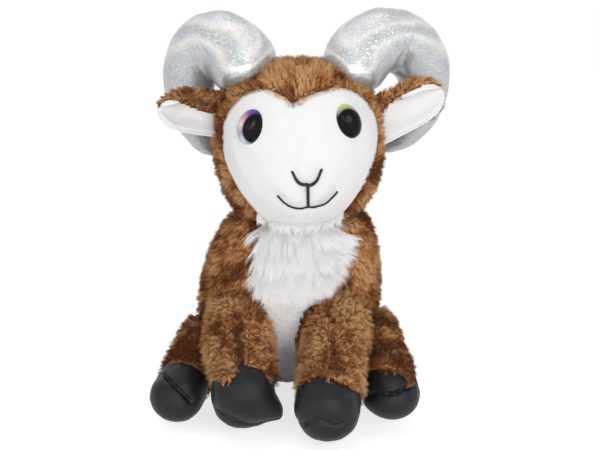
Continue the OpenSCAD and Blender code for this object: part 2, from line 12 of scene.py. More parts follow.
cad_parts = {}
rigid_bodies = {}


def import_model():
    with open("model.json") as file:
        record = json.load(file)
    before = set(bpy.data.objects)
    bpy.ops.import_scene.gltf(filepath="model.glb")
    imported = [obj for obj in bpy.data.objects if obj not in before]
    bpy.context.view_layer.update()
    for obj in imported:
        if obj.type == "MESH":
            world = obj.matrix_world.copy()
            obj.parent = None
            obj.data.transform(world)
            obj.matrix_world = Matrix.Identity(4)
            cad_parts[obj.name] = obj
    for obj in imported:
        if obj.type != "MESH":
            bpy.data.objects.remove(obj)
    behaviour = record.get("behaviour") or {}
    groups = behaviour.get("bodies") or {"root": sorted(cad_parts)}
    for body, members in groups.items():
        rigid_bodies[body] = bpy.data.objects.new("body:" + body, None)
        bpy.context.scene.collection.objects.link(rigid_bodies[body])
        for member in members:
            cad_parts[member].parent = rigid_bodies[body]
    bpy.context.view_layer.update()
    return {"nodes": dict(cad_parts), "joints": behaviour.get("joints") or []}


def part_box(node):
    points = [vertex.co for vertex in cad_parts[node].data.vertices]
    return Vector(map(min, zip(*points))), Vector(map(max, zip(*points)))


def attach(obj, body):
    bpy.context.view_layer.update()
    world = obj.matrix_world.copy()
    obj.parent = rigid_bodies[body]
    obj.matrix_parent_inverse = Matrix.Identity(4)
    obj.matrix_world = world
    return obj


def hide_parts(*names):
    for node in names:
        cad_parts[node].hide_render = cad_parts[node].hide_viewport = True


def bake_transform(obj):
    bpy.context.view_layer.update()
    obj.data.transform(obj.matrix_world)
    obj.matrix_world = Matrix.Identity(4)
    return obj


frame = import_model()

bl_info = {
    "name": "Stuffed ram",
    "version": (1, 0, 0),
    "blender": (4, 5, 0),
    "location": "View3D > Sidebar > Ram",
    "description": "Plush, velour, glitter cloth and stage for a sitting stuffed ram",
    "category": "Object",
}

MM = 0.001
SIDES = ("left", "right")
LEGS = tuple(f"{end}_leg_{side}" for end in ("front", "rear") for side in SIDES)
TORSO_NODES = ("body_skin", "chest_panel", "seat_panel", "body_fill", "pellet_bag")
HEAD_NODES = ("head_hood", "face_panel", "head_fill")


# Settings

def length_of(name, about, default):
    """A length in metres with its name and what it is."""
    return bpy.props.FloatProperty(
        name=name, description=about, default=default, min=0, subtype="DISTANCE", unit="LENGTH")


def share_of(name, about, default):
    """A share from 0 to 1."""
    return bpy.props.FloatProperty(
        name=name, description=about, default=default, min=0, max=1, subtype="FACTOR")


def angle_of(name, about, degrees):
    """An angle, given in degrees."""
    return bpy.props.FloatProperty(
        name=name, description=about, default=math.radians(degrees), subtype="ANGLE")


def density_of(default):
    """How many strands a square centimetre grows."""
    return bpy.props.FloatProperty(
        name="Density", description="Strands on a square centimetre", default=default, min=1)


def colour_of(name, about, default):
    """A linear colour."""
    return bpy.props.FloatVectorProperty(
        name=name, description=about, default=default, size=3, min=0, max=1, subtype="COLOR")


class RamPlush(bpy.types.PropertyGroup):
    """The brown plush."""
    length: length_of("Pile length", "Length of a strand of the brown pile", 4.4 * MM)
    width: length_of("Strand width", "Width of a strand at its root", 0.26 * MM)
    density: density_of(420)
    lean: angle_of("Lean", "How far the pile leans from upright", 42)
    clump: share_of("Clumping", "How far strands draw together into tufts", 0.42)
    inset: length_of("Backing depth", "Depth of the cloth backing below the top of the pile", 2.4 * MM)
    dark: colour_of("Dark", "Darkest strands", (0.15, 0.05, 0.013))
    middle: colour_of("Middle", "Common strands", (0.86, 0.36, 0.13))
    light: colour_of("Light", "Palest strands", (1.0, 0.64, 0.3))
    # Painted shade: the root colour darkens each strand towards its root, standing in for the shade among the
    # strands
    root: colour_of("Root shade", "What is left of a strand's colour at its root", (0.4, 0.26, 0.16))


class RamChest(bpy.types.PropertyGroup):
    """The white chest pile."""
    long_length: length_of("Long pile", "Length of the long strands below the chin", 16 * MM)
    short_length: length_of("Short pile", "Length of the strands on the belly", 3.4 * MM)
    width: length_of("Strand width", "Width of a strand at its root", 0.32 * MM)
    density: density_of(420)
    long_lean: angle_of("Long lean", "How far the long strands lean from upright", 68)
    short_lean: angle_of("Short lean", "How far the short strands lean from upright", 48)
    fringe_lean: angle_of("Fringe lean", "How far the strands below the chin lean", 75)
    fringe: length_of("Fringe", "Length of the strands below the chin", 7 * MM)
    white: colour_of("White", "Colour of the strands", (0.97, 0.968, 0.96))


class RamFace(bpy.types.PropertyGroup):
    """The velour face and ear linings."""
    white: colour_of("White", "Colour of the velour", (0.87, 0.87, 0.865))
    seam_roll: length_of("Seam roll", "Width over which the face rolls in to its seam", 3 * MM)
    stitch_dent: length_of("Stitch dent", "Depth of the dent along the stitching", 0.7 * MM)
    ridge: length_of("Brow ridge", "Height of the soft ridge down the middle of the face", 0.7 * MM)
    thin_thread: length_of("Thread slimming", "How much the thread is drawn in by its pull", 0.3 * MM)
    cheek: length_of("Cheek", "How far the stuffing pushes out the toy's left cheek", 2.2 * MM)
    fold: length_of("Ear fold", "Depth of the soft fold in an ear lining", 1.2 * MM)


class RamHorns(bpy.types.PropertyGroup):
    """The glitter horns."""
    silver: colour_of("Silver", "Colour of the metal cloth", (0.5, 0.53, 0.56))
    # Painted highlight: cream bands painted along the horns by which way the cloth faces
    highlight_cream: colour_of("Cream", "Colour along the pleats of the metal cloth", (0.9, 0.88, 0.84))
    fleck: length_of("Fleck size", "Size of a fleck of glitter", 0.7 * MM)
    puff: length_of("Puff", "Most that the stuffing swells the cloth", 2 * MM)
    stout: length_of("Stoutness", "How far the whole horn is filled out before it is smoothed", 1.9 * MM)
    full: length_of("Fullness", "How far the stuffing fills the inside of the curl", 3.5 * MM)
    crease: length_of("Crease", "Depth of the fold inside the bend of the left horn", 3.5 * MM)
    shallow: length_of("Shallow crease", "Depth of the fold inside the bend of the right horn", 1.2 * MM)


class RamHooves(bpy.types.PropertyGroup):
    """The black hooves."""
    black: colour_of("Black", "Colour of the hoof cloth", (0.009, 0.009, 0.011))
    rib: length_of("Rib", "Pitch of the ribs of the cloth", 1.1 * MM)
    puff: length_of("Puff", "Most that the stuffing swells the cloth", 1.5 * MM)
    crease: length_of("Cleft", "Depth of the sewn cleft", 3 * MM)


class RamStage(bpy.types.PropertyGroup):
    """Camera, lamps and floor."""
    camera: bpy.props.FloatVectorProperty(
        name="Camera", description="Place of the camera", default=(0.009, -0.821, 0.25),
        subtype="TRANSLATION")
    pitch: angle_of("Pitch", "How far the camera looks down", 10.3)
    lens: bpy.props.FloatProperty(
        name="Lens", description="Focal length in millimetres", default=77.4, subtype="DISTANCE_CAMERA")
    floor: colour_of("Floor", "Colour of the floor", (0.8, 0.8, 0.8))


# Size of the photograph in pixels, and width of the camera's sensor in millimetres
PHOTO = (600, 450)
SENSOR = 36
# Lines that the sewing follows, as pixels of the photograph
CLEFTS = {
    "rear_hoof_right": [(163, 372), (170, 380), (178, 388), (185, 395), (192, 402)],
    "rear_hoof_left": [(367, 395), (375, 393), (384, 394), (395, 394), (404, 389), (413, 385)],
    "front_hoof_right": [(215, 411), (225, 417), (237, 423), (248, 427), (256, 429), (270, 425),
                         (284, 420)],
    "front_hoof_left": [(290, 428), (300, 427), (310, 424), (318, 420), (326, 424), (335, 428),
                        (345, 425)],
}
BENDS = {
    "left": [(413, 42), (410, 48), (407, 54), (403, 61), (400, 67), (397, 73)],
    "right": [(196, 62), (200, 69), (205, 76), (209, 82)],
}
VALLEYS = {
    "front_leg_right": [(240, 300), (240, 323), (240, 345), (241, 369)],
    "front_leg_left": [(331, 305), (332, 325), (333, 344), (333, 366)],
}
BROW = [(302, 110), (302, 125), (302, 140), (302, 155), (303, 168)]
# Outline of the bare face, round by its brow
FACE_EDGE = [(262, 240), (262, 218), (255, 214), (247, 208), (240, 200), (233, 190), (228, 177),
             (224, 167), (223, 150), (223, 127), (226, 117), (232, 107), (240, 98), (250, 92), (260, 88),
             (270, 91), (278, 95), (285, 98), (292, 105), (297, 102), (305, 98), (314, 94), (323, 92),
             (333, 88), (343, 88), (353, 91), (362, 97), (368, 103), (375, 115), (378, 127), (378, 138),
             (377, 150), (373, 163), (368, 177), (363, 190), (358, 199), (352, 206), (343, 213),
             (336, 218), (336, 240)]
# Outline of the rows of roots of the white chest
CHEST_EDGE = [(263, 215), (262, 230), (261, 250), (260, 265), (260, 280), (262, 292), (264, 305), (268, 315),
              (272, 327), (274, 343), (274, 420), (299, 420), (298, 360), (296, 340), (297, 327), (301, 315),
              (312, 303), (320, 293), (326, 285), (329, 273), (332, 262), (335, 250), (337, 237), (334, 215)]
# Upper edge of each ear lining, below the plush
LINING_EDGES = {
    "left": [(372, 126), (378, 120), (383, 115), (388, 107), (398, 98), (412, 91), (422, 86), (432, 84),
             (443, 88)],
    "right": [(156, 112), (162, 103), (168, 100), (175, 100), (185, 105), (197, 110), (210, 113),
              (232, 118)],
}
# Soft fold in each ear lining
FOLDS = {"left": [(402, 102), (418, 96)], "right": [(174, 120), (183, 116), (198, 118)]}
# Lowest and highest rows where the chest fans outwards
FAN_ROWS = (275, 224)
# Where the plush of each leg ends over its hoof
HEMS = {
    "front_leg_right": [(190, 380), (205, 382), (230, 382), (235, 379), (239, 371), (250, 369), (262, 370),
                        (270, 378)],
    "front_leg_left": [(290, 384), (303, 386), (308, 382), (318, 378), (332, 381), (343, 385), (352, 390),
                       (362, 394)],
    "rear_leg_right": [(150, 368), (158, 362), (170, 361), (183, 362), (193, 365), (205, 370)],
    "rear_leg_left": [(355, 380), (363, 375), (372, 372), (385, 372), (398, 374), (411, 381), (420, 386)],
}
# Where the stuffing pushes or the sewing pulls a piece: a pixel, its way in pixels and the width of the pull
DRAGS = {
    "chin": [((300, 215), (0, 4), 13 * MM)],
    "horn_left": [((325, 52), (-5, 0), 12 * MM)],
    "horn_right": [((271, 57), (9, 1), 13 * MM)],
    "ear_left": [((385, 110), (-5, -13), 9 * MM)],
    "ear_right": [((216, 98), (9, -5), 8 * MM)],
    "front_leg_right": [((205, 345), (-6, 0), 14 * MM)],
    "front_hoof_right": [((279, 383), (-8, 0), 9 * MM), ((277, 412), (8, 7), 7 * MM)],
    "rear_hoof_left": [((367, 397), (-5, 2), 9 * MM)],
}
# Middle and size of the dark pupil in each eye, as shares of the eye's half width and half height
PUPILS = {"left": (-0.24, -0.2, 0.94), "right": (0.58, 0.02, 0.8)}
# Colours of the foil round each pupil, by the share of a turn at which they lie; the slate greys of the left
# eye are a painted reflection on its dome, the rest is foil
FOILS = {
    "left": [(0.1, (0.1, 0.1, 0.12)), (0.25, (0.3, 0.31, 0.35)), (0.38, (0.4, 0.41, 0.47)),
             (0.5, (0.75, 0.7, 0.75)), (0.58, (0.66, 0.72, 0.22)), (0.66, (0.7, 0.75, 0.3)),
             (0.71, (0.85, 0.75, 0.85)), (0.77, (0.3, 0.25, 0.5)), (0.88, (0.08, 0.07, 0.2))],
    "right": [(0.2, (0.3, 0.45, 0.25)), (0.28, (0.05, 0.05, 0.35)), (0.37, (0.2, 0.08, 0.36)),
              (0.43, (0.8, 0.35, 0.45)), (0.49, (1, 0.92, 0.85)), (0.56, (0.5, 0.42, 0.6)),
              (0.64, (0.75, 0.88, 0.92)), (0.76, (0.3, 0.32, 0.36))],
}
# Place and width in metres, and power in watts, of each lamp, and the place that all point at
LAMPS = {
    "key": ((0.55, -1.35, 0.5), 0.8, 7.0),
    "fill": ((-0.8, -1.3, 0.25), 1.0, 3.3),
    "low": ((0.0, -1.2, 0.06), 0.7, 3.7),
    "top": ((-0.1, 0.2, 1.4), 1.0, 2.5),
    "spark": ((0.05, -1.2, 0.55), 0.05, 0.7),
}
LAMP_AIM = (0, -0.06, 0.13)
# Share of white that the floor adds for the camera, and the light that the world gives
FLOOR_GLOW = 0.68
WORLD_LIGHT = 0.35
# Size of the cells in which each stuffed form is cast, and how often it is smoothed
BODY_FORM = (2.4 * MM, 14)
HEAD_FORM = (2 * MM, 10)
HORN_FORM = (2.4 * MM, 5)
LEG_FORM = (2 * MM, 9)
HOOF_FORM = (2 * MM, 6)
TAIL_FORM = (1.4 * MM, 10)
THREAD_FORM = (0.35 * MM, 5)
# How often the rim of the face and the skin of the horns are drawn smooth
RIM_PASSES = 12
HORN_PASSES = 130
# Widths over which sewing draws a surface in
STITCH_WIDTH = 2.5 * MM
BROW_WIDTH = 2.6 * MM
FOLD_WIDTH = 2.2 * MM
BEND_WIDTH = 4 * MM
CLEFT_WIDTH = 1.3 * MM
CLEFT_DIP = 6 * MM
# Depth and width of the parting down a front leg, and width of its strands darkened by painted shade
VALLEY_DEPTH = 5 * MM
VALLEY_WIDTH = 3 * MM
PARTING_WIDTH = 2.6 * MM
# Painted light and shade on the pile, as how much lighter or darker than the common tone it is: painted shade
# on the body, beside the chest, towards the neck, on the rear legs and in the parting, painted light on the
# front legs
PAINTED_SHADING = {"body": -0.18, "beside_chest": -0.3, "neck": -0.3, "rear_leg": -0.6, "front_leg": 0.16,
         "parting": -0.75}
# What lies lower on the body belongs to its flat seat
SEAT_BAND = 3.5 * MM
# How far the stem of the nose is drawn down to the mouth
STEM_DROP = 1.8 * MM
# Corners closer than this are one
MERGE = 0.02 * MM
# Height of what rests on the floor
REST = 0.2 * MM
# Pressure and frames of the cloth simulation
PRESSURE = 4
FRAMES = 20
# First random draw of each pile
SEEDS = {"body": 11, "chest": 21, "hood": 31, "chin": 35, "ears": 41, "legs": 51, "tail": 71, "highlight_bands": 91}
DOWN = (0, 0, -1.0)
# Lowest place of a strand's tip, and depth of its root below the backing
TIP_CLEAR = 0.3 * MM
ROOT_DEPTH = 0.5 * MM
# Sizes of the patches in which tufts swirl, and in which their colour drifts
SWIRL_PATCH = 11 * MM
SHADE_PATCHES = (18 * MM, 6 * MM)
# How deep the root of an ear, the tail or a horn is sunk, and how far from its end that reaches
EAR_ROOT = (15 * MM, 16 * MM)
TAIL_ROOT = (9 * MM, 10 * MM)
HORN_ROOT = (6 * MM, 5 * MM)
# Ways in which the horns' cloth has its painted glints thickest, and across which its painted highlight bands
# run
GLINT_WAY = (0.0, -0.45, 0.9)
HIGHLIGHT_BAND_WAY = (0.0, -0.35, 0.93)
# Height of the nap of cloth
NAP = 0.2 * MM
# Radius within which an eye's corners belong to its shank
SHANK = 3.2 * MM


# Mesh helpers

def pick(*objects):
    """Selects only these objects and makes the first one active."""
    bpy.ops.object.select_all(action="DESELECT")
    for o in objects:
        o.select_set(True)
    bpy.context.view_layer.objects.active = objects[0]


def new_object(name, data):
    """A new object in the scene."""
    o = bpy.data.objects.new(name, data)
    bpy.context.collection.objects.link(o)
    return o


def modify(piece, kind, **values):
    """Adds a modifier with these values and applies it."""
    pick(piece)
    modifier = piece.modifiers.new(kind.title(), kind)
    for key, value in values.items():
        setattr(modifier, key, value)
    bpy.ops.object.modifier_apply(modifier=modifier.name)


def vectors(items, key):
    """One vector of each item of a mesh."""
    out = np.empty(len(items) * 3)
    items.foreach_get(key, out)
    return out.reshape(-1, 3)


def points(piece):
    """Corners of a piece."""
    return vectors(piece.data.vertices, "co")


def normals(piece):
    """Normals at the corners of a piece."""
    return vectors(piece.data.vertex_normals, "vector")


def face_centres(piece):
    """Middles of the faces of a piece."""
    return vectors(piece.data.polygons, "center")


def face_normals(piece):
    """Normals of the faces of a piece."""
    return vectors(piece.data.polygons, "normal")


def place(piece, co):
    """Puts the corners of a piece somewhere else."""
    piece.data.vertices.foreach_set("co", np.asarray(co, np.float32).ravel())
    piece.data.update()


def swell(piece, by):
    """Moves each corner of a piece outwards by its own length."""
    place(piece, points(piece) + normals(piece) * by[:, None])


def bell(away, width):
    """1 at a place, falling softly over a width round it."""
    return np.exp(-(away / width) ** 2)


def smooth_step(t):
    """0 below 0, 1 above 1 and a soft rise between."""
    t = np.clip(t, 0, 1)
    return t * t * (3 - 2 * t)


def unit(v):
    """Vectors of length 1."""
    return v / np.maximum(np.linalg.norm(v, axis=-1, keepdims=True), 1e-12)


def node_points(name):
    """Corners of a CAD node."""
    return points(frame["nodes"][name])


def tree_of(*meshes):
    """Search tree over the faces of meshes."""
    corners, faces = [], []
    for mesh in meshes:
        first = len(corners)
        corners += [v.co[:] for v in mesh.vertices]
        faces += [[first + i for i in p.vertices] for p in mesh.polygons]
    return BVHTree.FromPolygons(corners, faces)


def node_tree(*names):
    """Search tree over CAD nodes."""
    return tree_of(*(frame["nodes"][n].data for n in names))


def distance(tree, co):
    """How far points are from the faces of a tree."""
    return np.array([tree.find_nearest(p)[3] for p in co])


def edit(piece, step, **values):
    """Runs a step of mesh editing on all of a piece."""
    pick(piece)
    bpy.ops.object.mode_set(mode="EDIT")
    bpy.ops.mesh.select_all(action="SELECT")
    step(**values)
    bpy.ops.object.mode_set(mode="OBJECT")


def shade(piece):
    """Shades a piece smooth."""
    pick(piece)
    bpy.ops.object.shade_smooth()


def finer(piece, levels=1):
    """Divides the faces of a piece and rounds them."""
    modify(piece, "SUBSURF", levels=levels, render_levels=levels)


def cast(name, *nodes):
    """One merged object cast from copies of CAD nodes."""
    copies = [new_object(name, frame["nodes"][n].data.copy()) for n in nodes]
    pick(*copies)
    if len(copies) > 1:
        bpy.ops.object.join()
    piece = bpy.context.object
    piece.name = piece.data.name = name
    piece.data.materials.clear()
    edit(piece, bpy.ops.mesh.remove_doubles, threshold=MERGE)
    return piece


def keep_faces(piece, wanted):
    """Deletes the faces that aren't wanted."""
    pick(piece)
    bpy.ops.object.mode_set(mode="EDIT")
    bpy.ops.mesh.select_mode(type="FACE")
    bpy.ops.mesh.select_all(action="DESELECT")
    bpy.ops.object.mode_set(mode="OBJECT")
    piece.data.polygons.foreach_set("select", ~np.asarray(wanted, bool))
    bpy.ops.object.mode_set(mode="EDIT")
    bpy.ops.mesh.delete(type="FACE")
    bpy.ops.object.mode_set(mode="OBJECT")


def outer_shell(piece):
    """Keeps only the shell that holds the highest point."""
    pick(piece)
    bpy.ops.object.mode_set(mode="EDIT")
    bpy.ops.mesh.select_mode(type="VERT")
    bpy.ops.mesh.select_all(action="DESELECT")
    bpy.ops.object.mode_set(mode="OBJECT")
    piece.data.vertices[int(points(piece)[:, 2].argmax())].select = True
    bpy.ops.object.mode_set(mode="EDIT")
    bpy.ops.mesh.select_linked()
    bpy.ops.mesh.select_all(action="INVERT")
    bpy.ops.mesh.delete(type="VERT")
    bpy.ops.object.mode_set(mode="OBJECT")


def stuffed(name, nodes, form, inset=0.0):
    """A smooth stuffed form round CAD nodes, inset below their skin."""
    cell, passes = form
    piece = cast(name, *nodes)
    modify(piece, "REMESH", mode="VOXEL", voxel_size=cell)
    outer_shell(piece)
    modify(piece, "SMOOTH", factor=0.5, iterations=passes)
    if inset:
        modify(piece, "DISPLACE", strength=-inset, mid_level=0)
    shade(piece)
    return piece


def copy_of(piece, name):
    """A second piece with the same mesh."""
    o = new_object(name, piece.data.copy())
    o.data.name = name
    return o


def finish_piece(piece, material, body, slot, *nodes):
    """Gives a piece its finish and body, and lets it stand for CAD nodes."""
    piece.data.materials.clear()
    piece.data.materials.append(material)
    if body:
        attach(piece, body)
    if nodes:
        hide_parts(*nodes)
    return piece


def rounded(name, node, levels):
    """A smooth copy of a thin CAD node."""
    piece = cast(name, node)
    edit(piece, bpy.ops.mesh.tris_convert_to_quads)
    finer(piece, levels)
    shade(piece)
    return piece


def camera_turn():
    """How the camera is turned, as a matrix."""
    return Euler((math.radians(90) - bpy.context.scene.ram_stage.pitch, 0, 0)).to_matrix()


def seen_line(piece, pixels):
    """Points of a piece that the photograph shows at these pixels, or those nearest to them."""
    stage = bpy.context.scene.ram_stage
    eye = Vector(stage.camera)
    turn = camera_turn()
    focal = stage.lens / SENSOR * PHOTO[0]
    tree = tree_of(piece.data)
    away = (Vector(points(piece).mean(0)) - eye).length
    line = []
    for x, y in pixels:
        ray = (turn @ Vector((x - PHOTO[0] / 2, PHOTO[1] / 2 - y, -focal))).normalized()
        line.append(tree.ray_cast(eye, ray)[0] or tree.find_nearest(eye + ray * away)[0])
    return np.array(line)


def seen_at(co):
    """Pixels of the photograph at which points are seen."""
    stage = bpy.context.scene.ram_stage
    there = (co - np.array(stage.camera)) @ np.array(camera_turn())
    scale = stage.lens / SENSOR * PHOTO[0] / -there[:, 2:]
    return there[:, :2] * scale * (1, -1) + np.array(PHOTO) / 2


def pixel_size(co):
    """Length that a pixel of the photograph spans at each point."""
    stage = bpy.context.scene.ram_stage
    return np.linalg.norm(co - np.array(stage.camera), axis=1) * SENSOR / stage.lens / PHOTO[0]


def within_loop(co, loop):
    """How far inside a closed line of pixels each point is seen, in metres, below 0 outside it."""
    at = seen_at(co)
    inside = np.zeros(len(at), bool)
    ring = loop + loop[:1]
    for (x0, y0), (x1, y1) in zip(ring[:-1], ring[1:]):
        crosses = (y0 > at[:, 1]) != (y1 > at[:, 1])
        inside ^= crosses & (at[:, 0] < x0 + (at[:, 1] - y0) * (x1 - x0) / ((y1 - y0) or 1))
    away = from_line(at, np.array(ring, float)) * pixel_size(co)
    return np.where(inside, away, -away)


def above_line(co, line):
    """Whether points are seen above a line of pixels that runs from left to right."""
    at = seen_at(co)
    x, y = np.array(line, float).T
    return at[:, 1] < np.interp(at[:, 0], x, y)


def off_line(co, line):
    """Way from the nearest place on a line to each point."""
    best = co - line[0]
    for a, b in zip(line[:-1], line[1:]):
        t = np.clip((co - a) @ (b - a) / ((b - a) @ (b - a)), 0, 1)[:, None]
        way = co - a - t * (b - a)
        nearer = np.linalg.norm(way, axis=1) < np.linalg.norm(best, axis=1)
        best[nearer] = way[nearer]
    return best


def from_line(co, line):
    """How far points are from a line."""
    return np.linalg.norm(off_line(co, line), axis=1)


def drag(piece, name):
    """Pulls what the photograph shows at the pixels of a name in DRAGS across it."""
    for pixel, by, width in DRAGS.get(name, ()):
        at = seen_line(piece, [pixel])
        way = np.array(camera_turn() @ Vector((by[0], -by[1], 0))) * pixel_size(at)
        near = np.linalg.norm(points(piece) - at, axis=1)
        place(piece, points(piece) + np.outer(bell(near, width), way))


def sink_root(piece, pivot, out, root):
    """Draws the root of a piece back into what carries it."""
    depth, reach = root
    share = smooth_step(1 - (points(piece) - pivot) @ out / reach)
    place(piece, points(piece) - out * depth * share[:, None])


def facing(co, out):
    """How much places with these normals face the camera, 1 straight at it."""
    return (unit(np.array(bpy.context.scene.ram_stage.camera) - co) * out).sum(1)


def edges_of(piece, rim):
    """Corner pairs of a piece's edges, or only of those along its cut rim."""
    pairs = [k for p in piece.data.polygons for k in p.edge_keys]
    keys, uses = np.unique(pairs, axis=0, return_counts=True)
    return keys[uses == 1] if rim else keys


def relax(piece, passes, share=None):
    """Draws each corner towards the middle of its neighbours, by its own share, or else only the cut rim."""
    keys = edges_of(piece, share is None)
    a, b = np.concatenate([keys, keys[:, ::-1]]).T
    co = points(piece)
    count = np.bincount(a, minlength=len(co))
    share = 0.5 * (count > 0) * (1 if share is None else share)
    for _ in range(passes):
        around = np.stack([np.bincount(a, co[b, k], len(co)) for k in range(3)], axis=1)
        co = co + (around / np.maximum(count, 1)[:, None] - co) * share[:, None]
    place(piece, co)


def draw_in(piece, line, depth, width):
    """Pulls a surface in along a sewn line."""
    swell(piece, -depth * bell(from_line(points(piece), line), width))


def puff(piece, sewn, swell):
    """Swells a stuffed form with a cloth simulation, held where it is sewn, no point further than swell."""
    start = points(piece)
    piece.vertex_groups.new(name="sewn").add([int(i) for i in np.nonzero(sewn)[0]], 1, "ADD")
    pick(piece)
    cloth = piece.modifiers.new("Cloth", "CLOTH")
    cloth.settings.vertex_group_mass = "sewn"
    cloth.settings.use_pressure = True
    cloth.settings.uniform_pressure_force = PRESSURE
    cloth.settings.effector_weights.gravity = 0
    cloth.collision_settings.use_collision = False
    for f in range(FRAMES):
        bpy.context.scene.frame_set(f + 1)
    bpy.ops.object.modifier_apply(modifier=cloth.name)
    bpy.context.scene.frame_set(1)
    piece.vertex_groups.clear()
    moved = points(piece) - start
    far = np.linalg.norm(moved, axis=1, keepdims=True)
    place(piece, start + moved * np.minimum(1, swell / np.maximum(far, 1e-9)))


def joint_place(body):
    """Place of the joint on which a body moves."""
    return np.array(next(j["pos_m"] for j in frame["joints"] if j["child"] == body))


# Pile

def strand_mesh(name, rings, tips, facing, tone, soften):
    """Closed three sided strands: rings is levels x strands x 3 corners, tips ends them."""
    levels, count = rings.shape[:2]
    step = 3 * levels + 1
    co = np.concatenate([rings.transpose(1, 0, 2, 3).reshape(count, -1, 3), tips[:, None]], axis=1)
    walls = [[3 * k + i, 3 * k + j, 3 * k + 3 + j, 3 * k + 3 + i]
             for k in range(levels - 1) for i, j in ((0, 1), (1, 2), (2, 0))]
    last = 3 * levels - 3
    end = step - 1
    caps = [[last, last + 1, end], [last + 1, last + 2, end], [last + 2, last, end], [0, 2, 1]]
    faces = walls + caps
    loop = np.array([i for f in faces for i in f])
    sizes = np.array([len(f) for f in faces])
    mesh = bpy.data.meshes.new(name)
    mesh.vertices.add(count * step)
    mesh.vertices.foreach_set("co", co.astype(np.float32).ravel())
    mesh.loops.add(count * len(loop))
    corners = np.arange(count)[:, None] * step + loop
    mesh.loops.foreach_set("vertex_index", corners.astype(np.int32).ravel())
    total = np.tile(sizes, count)
    first = np.concatenate([[0], np.cumsum(total)[:-1]])
    mesh.polygons.add(len(total))
    mesh.polygons.foreach_set("loop_start", first.astype(np.int32))
    mesh.update(calc_edges=True)
    mesh.polygons.foreach_set("use_smooth", np.ones(len(total), bool))
    along = np.append(np.repeat(np.arange(levels) / levels, 3), 1.0)[loop]
    uv = np.stack([np.repeat(tone, len(loop)), np.tile(along, count)], axis=1).astype(np.float32)
    for layer in ("strand", "OFBake"):
        mesh.uv_layers.new(name=layer).data.foreach_set("uv", uv.ravel())
    own = np.empty(count * step * 3, np.float32)
    mesh.vertex_normals.foreach_get("vector", own)
    soft = unit((1 - soften) * own.reshape(count, step, 3) + soften * facing[:, None])
    mesh.normals_split_custom_set_from_vertices(soft.reshape(-1, 3))
    return new_object(name, mesh)


def sow(skin, wanted, density, rng):
    """Root points and normals spread over the wanted faces of a skin."""
    mesh = skin.data
    mesh.calc_loop_triangles()
    corner = np.empty(len(mesh.loop_triangles) * 3, np.int32)
    mesh.loop_triangles.foreach_get("vertices", corner)
    polygon = np.empty(len(mesh.loop_triangles), np.int32)
    mesh.loop_triangles.foreach_get("polygon_index", polygon)
    corner = corner.reshape(-1, 3)[np.asarray(wanted, bool)[polygon]]
    co, up = points(skin), normals(skin)
    a, b, c = (co[corner[:, i]] for i in range(3))
    area = np.linalg.norm(np.cross(b - a, c - a), axis=1) / 2
    count = int(area.sum() * density * 1e4)
    chosen = rng.choice(len(area), count, p=area / area.sum())
    u, v = rng.random((2, count))
    u, v = np.where(u + v > 1, 1 - u, u), np.where(u + v > 1, 1 - v, v)
    weight = np.stack([1 - u - v, u, v])[:, :, None]
    three = corner[chosen].T
    return (weight * co[three]).sum(0), unit((weight * up[three]).sum(0))


def all_down(root):
    """A flow straight down for every root."""
    return np.tile(DOWN, (len(root), 1))


def tufts(root, spacing, rng):
    """Index of the tuft that each strand belongs to, and the strand at its middle."""
    count = max(1, int(len(root) / spacing))
    middle = rng.choice(len(root), count, replace=False)
    tree = KDTree(count)
    for i, m in enumerate(middle):
        tree.insert(root[m], i)
    tree.balance()
    return np.array([tree.find(p)[1] for p in root]), middle


def patches(root, size, seed):
    """Slow noise over a surface, about -1 to 1."""
    shift = Vector((seed * 3.7, seed * 1.3, seed * 2.1))
    return np.array([noise.noise(Vector(p) / size + shift) for p in root])


def grow(name, root, up, flow, length, width, seed, lean, clump, levels=1, per_tuft=14,
         spread=0.27, contrast=1.9, soften=0.6, tint=0.0):
    """Grows tufted strands from roots, leaning along the flow."""
    rng = np.random.default_rng(seed)
    count = len(root)
    tuft, middle = tufts(root, per_tuft, rng)
    swirl = np.stack([patches(root[middle], SWIRL_PATCH, seed + 20 + i) for i in range(3)], axis=1)[tuft]
    flow = unit(flow) + 1.6 * spread * swirl
    along = unit(flow - up * (flow * up).sum(1, keepdims=True))
    wild = rng.normal(0, spread, (len(middle), 3))[tuft] + rng.normal(0, spread * 0.4, (count, 3))
    tilt = lean + rng.normal(0, 0.6 * spread, len(middle))[tuft][:, None]
    direction = unit(up * np.cos(tilt) + along * np.sin(tilt) + wild)
    reach = length * (1 + rng.normal(0, 0.08, count) + rng.normal(0, 0.1, len(middle))[tuft])
    tip = root + direction * reach[:, None]
    tip = tip + (tip[middle][tuft] - tip) * clump
    tip[:, 2] = np.maximum(tip[:, 2], TIP_CLEAR)
    base = root - up * ROOT_DEPTH
    side = unit(np.cross(direction, rng.normal(size=(count, 3))))
    other = np.cross(direction, side)
    arch = unit(direction * 0.5 + up)
    rings = []
    for k in range(levels):
        t = k / levels
        centre = base + (tip - base) * t + arch * (t * (1 - t) * reach * 0.5)[:, None]
        half = width / 2 * (1 - 0.3 * t)
        rings.append(np.stack([centre + half * (side * math.cos(f) + other * math.sin(f))
                               for f in (0, math.tau / 3, 2 * math.tau / 3)], axis=1))
    wide, narrow = SHADE_PATCHES
    drift = 0.6 * patches(root[middle], wide, seed) + 0.45 * patches(root[middle], narrow, seed + 9)
    drift = (drift + rng.normal(0, 0.07, len(middle)))[tuft] + rng.normal(0, 0.13, count)
    # tint adds painted light and shade to the tone
    tone = np.clip(0.5 + contrast * drift + tint, 0.01, 0.99)
    return strand_mesh(name, np.stack(rings), tip, up, tone, soften)


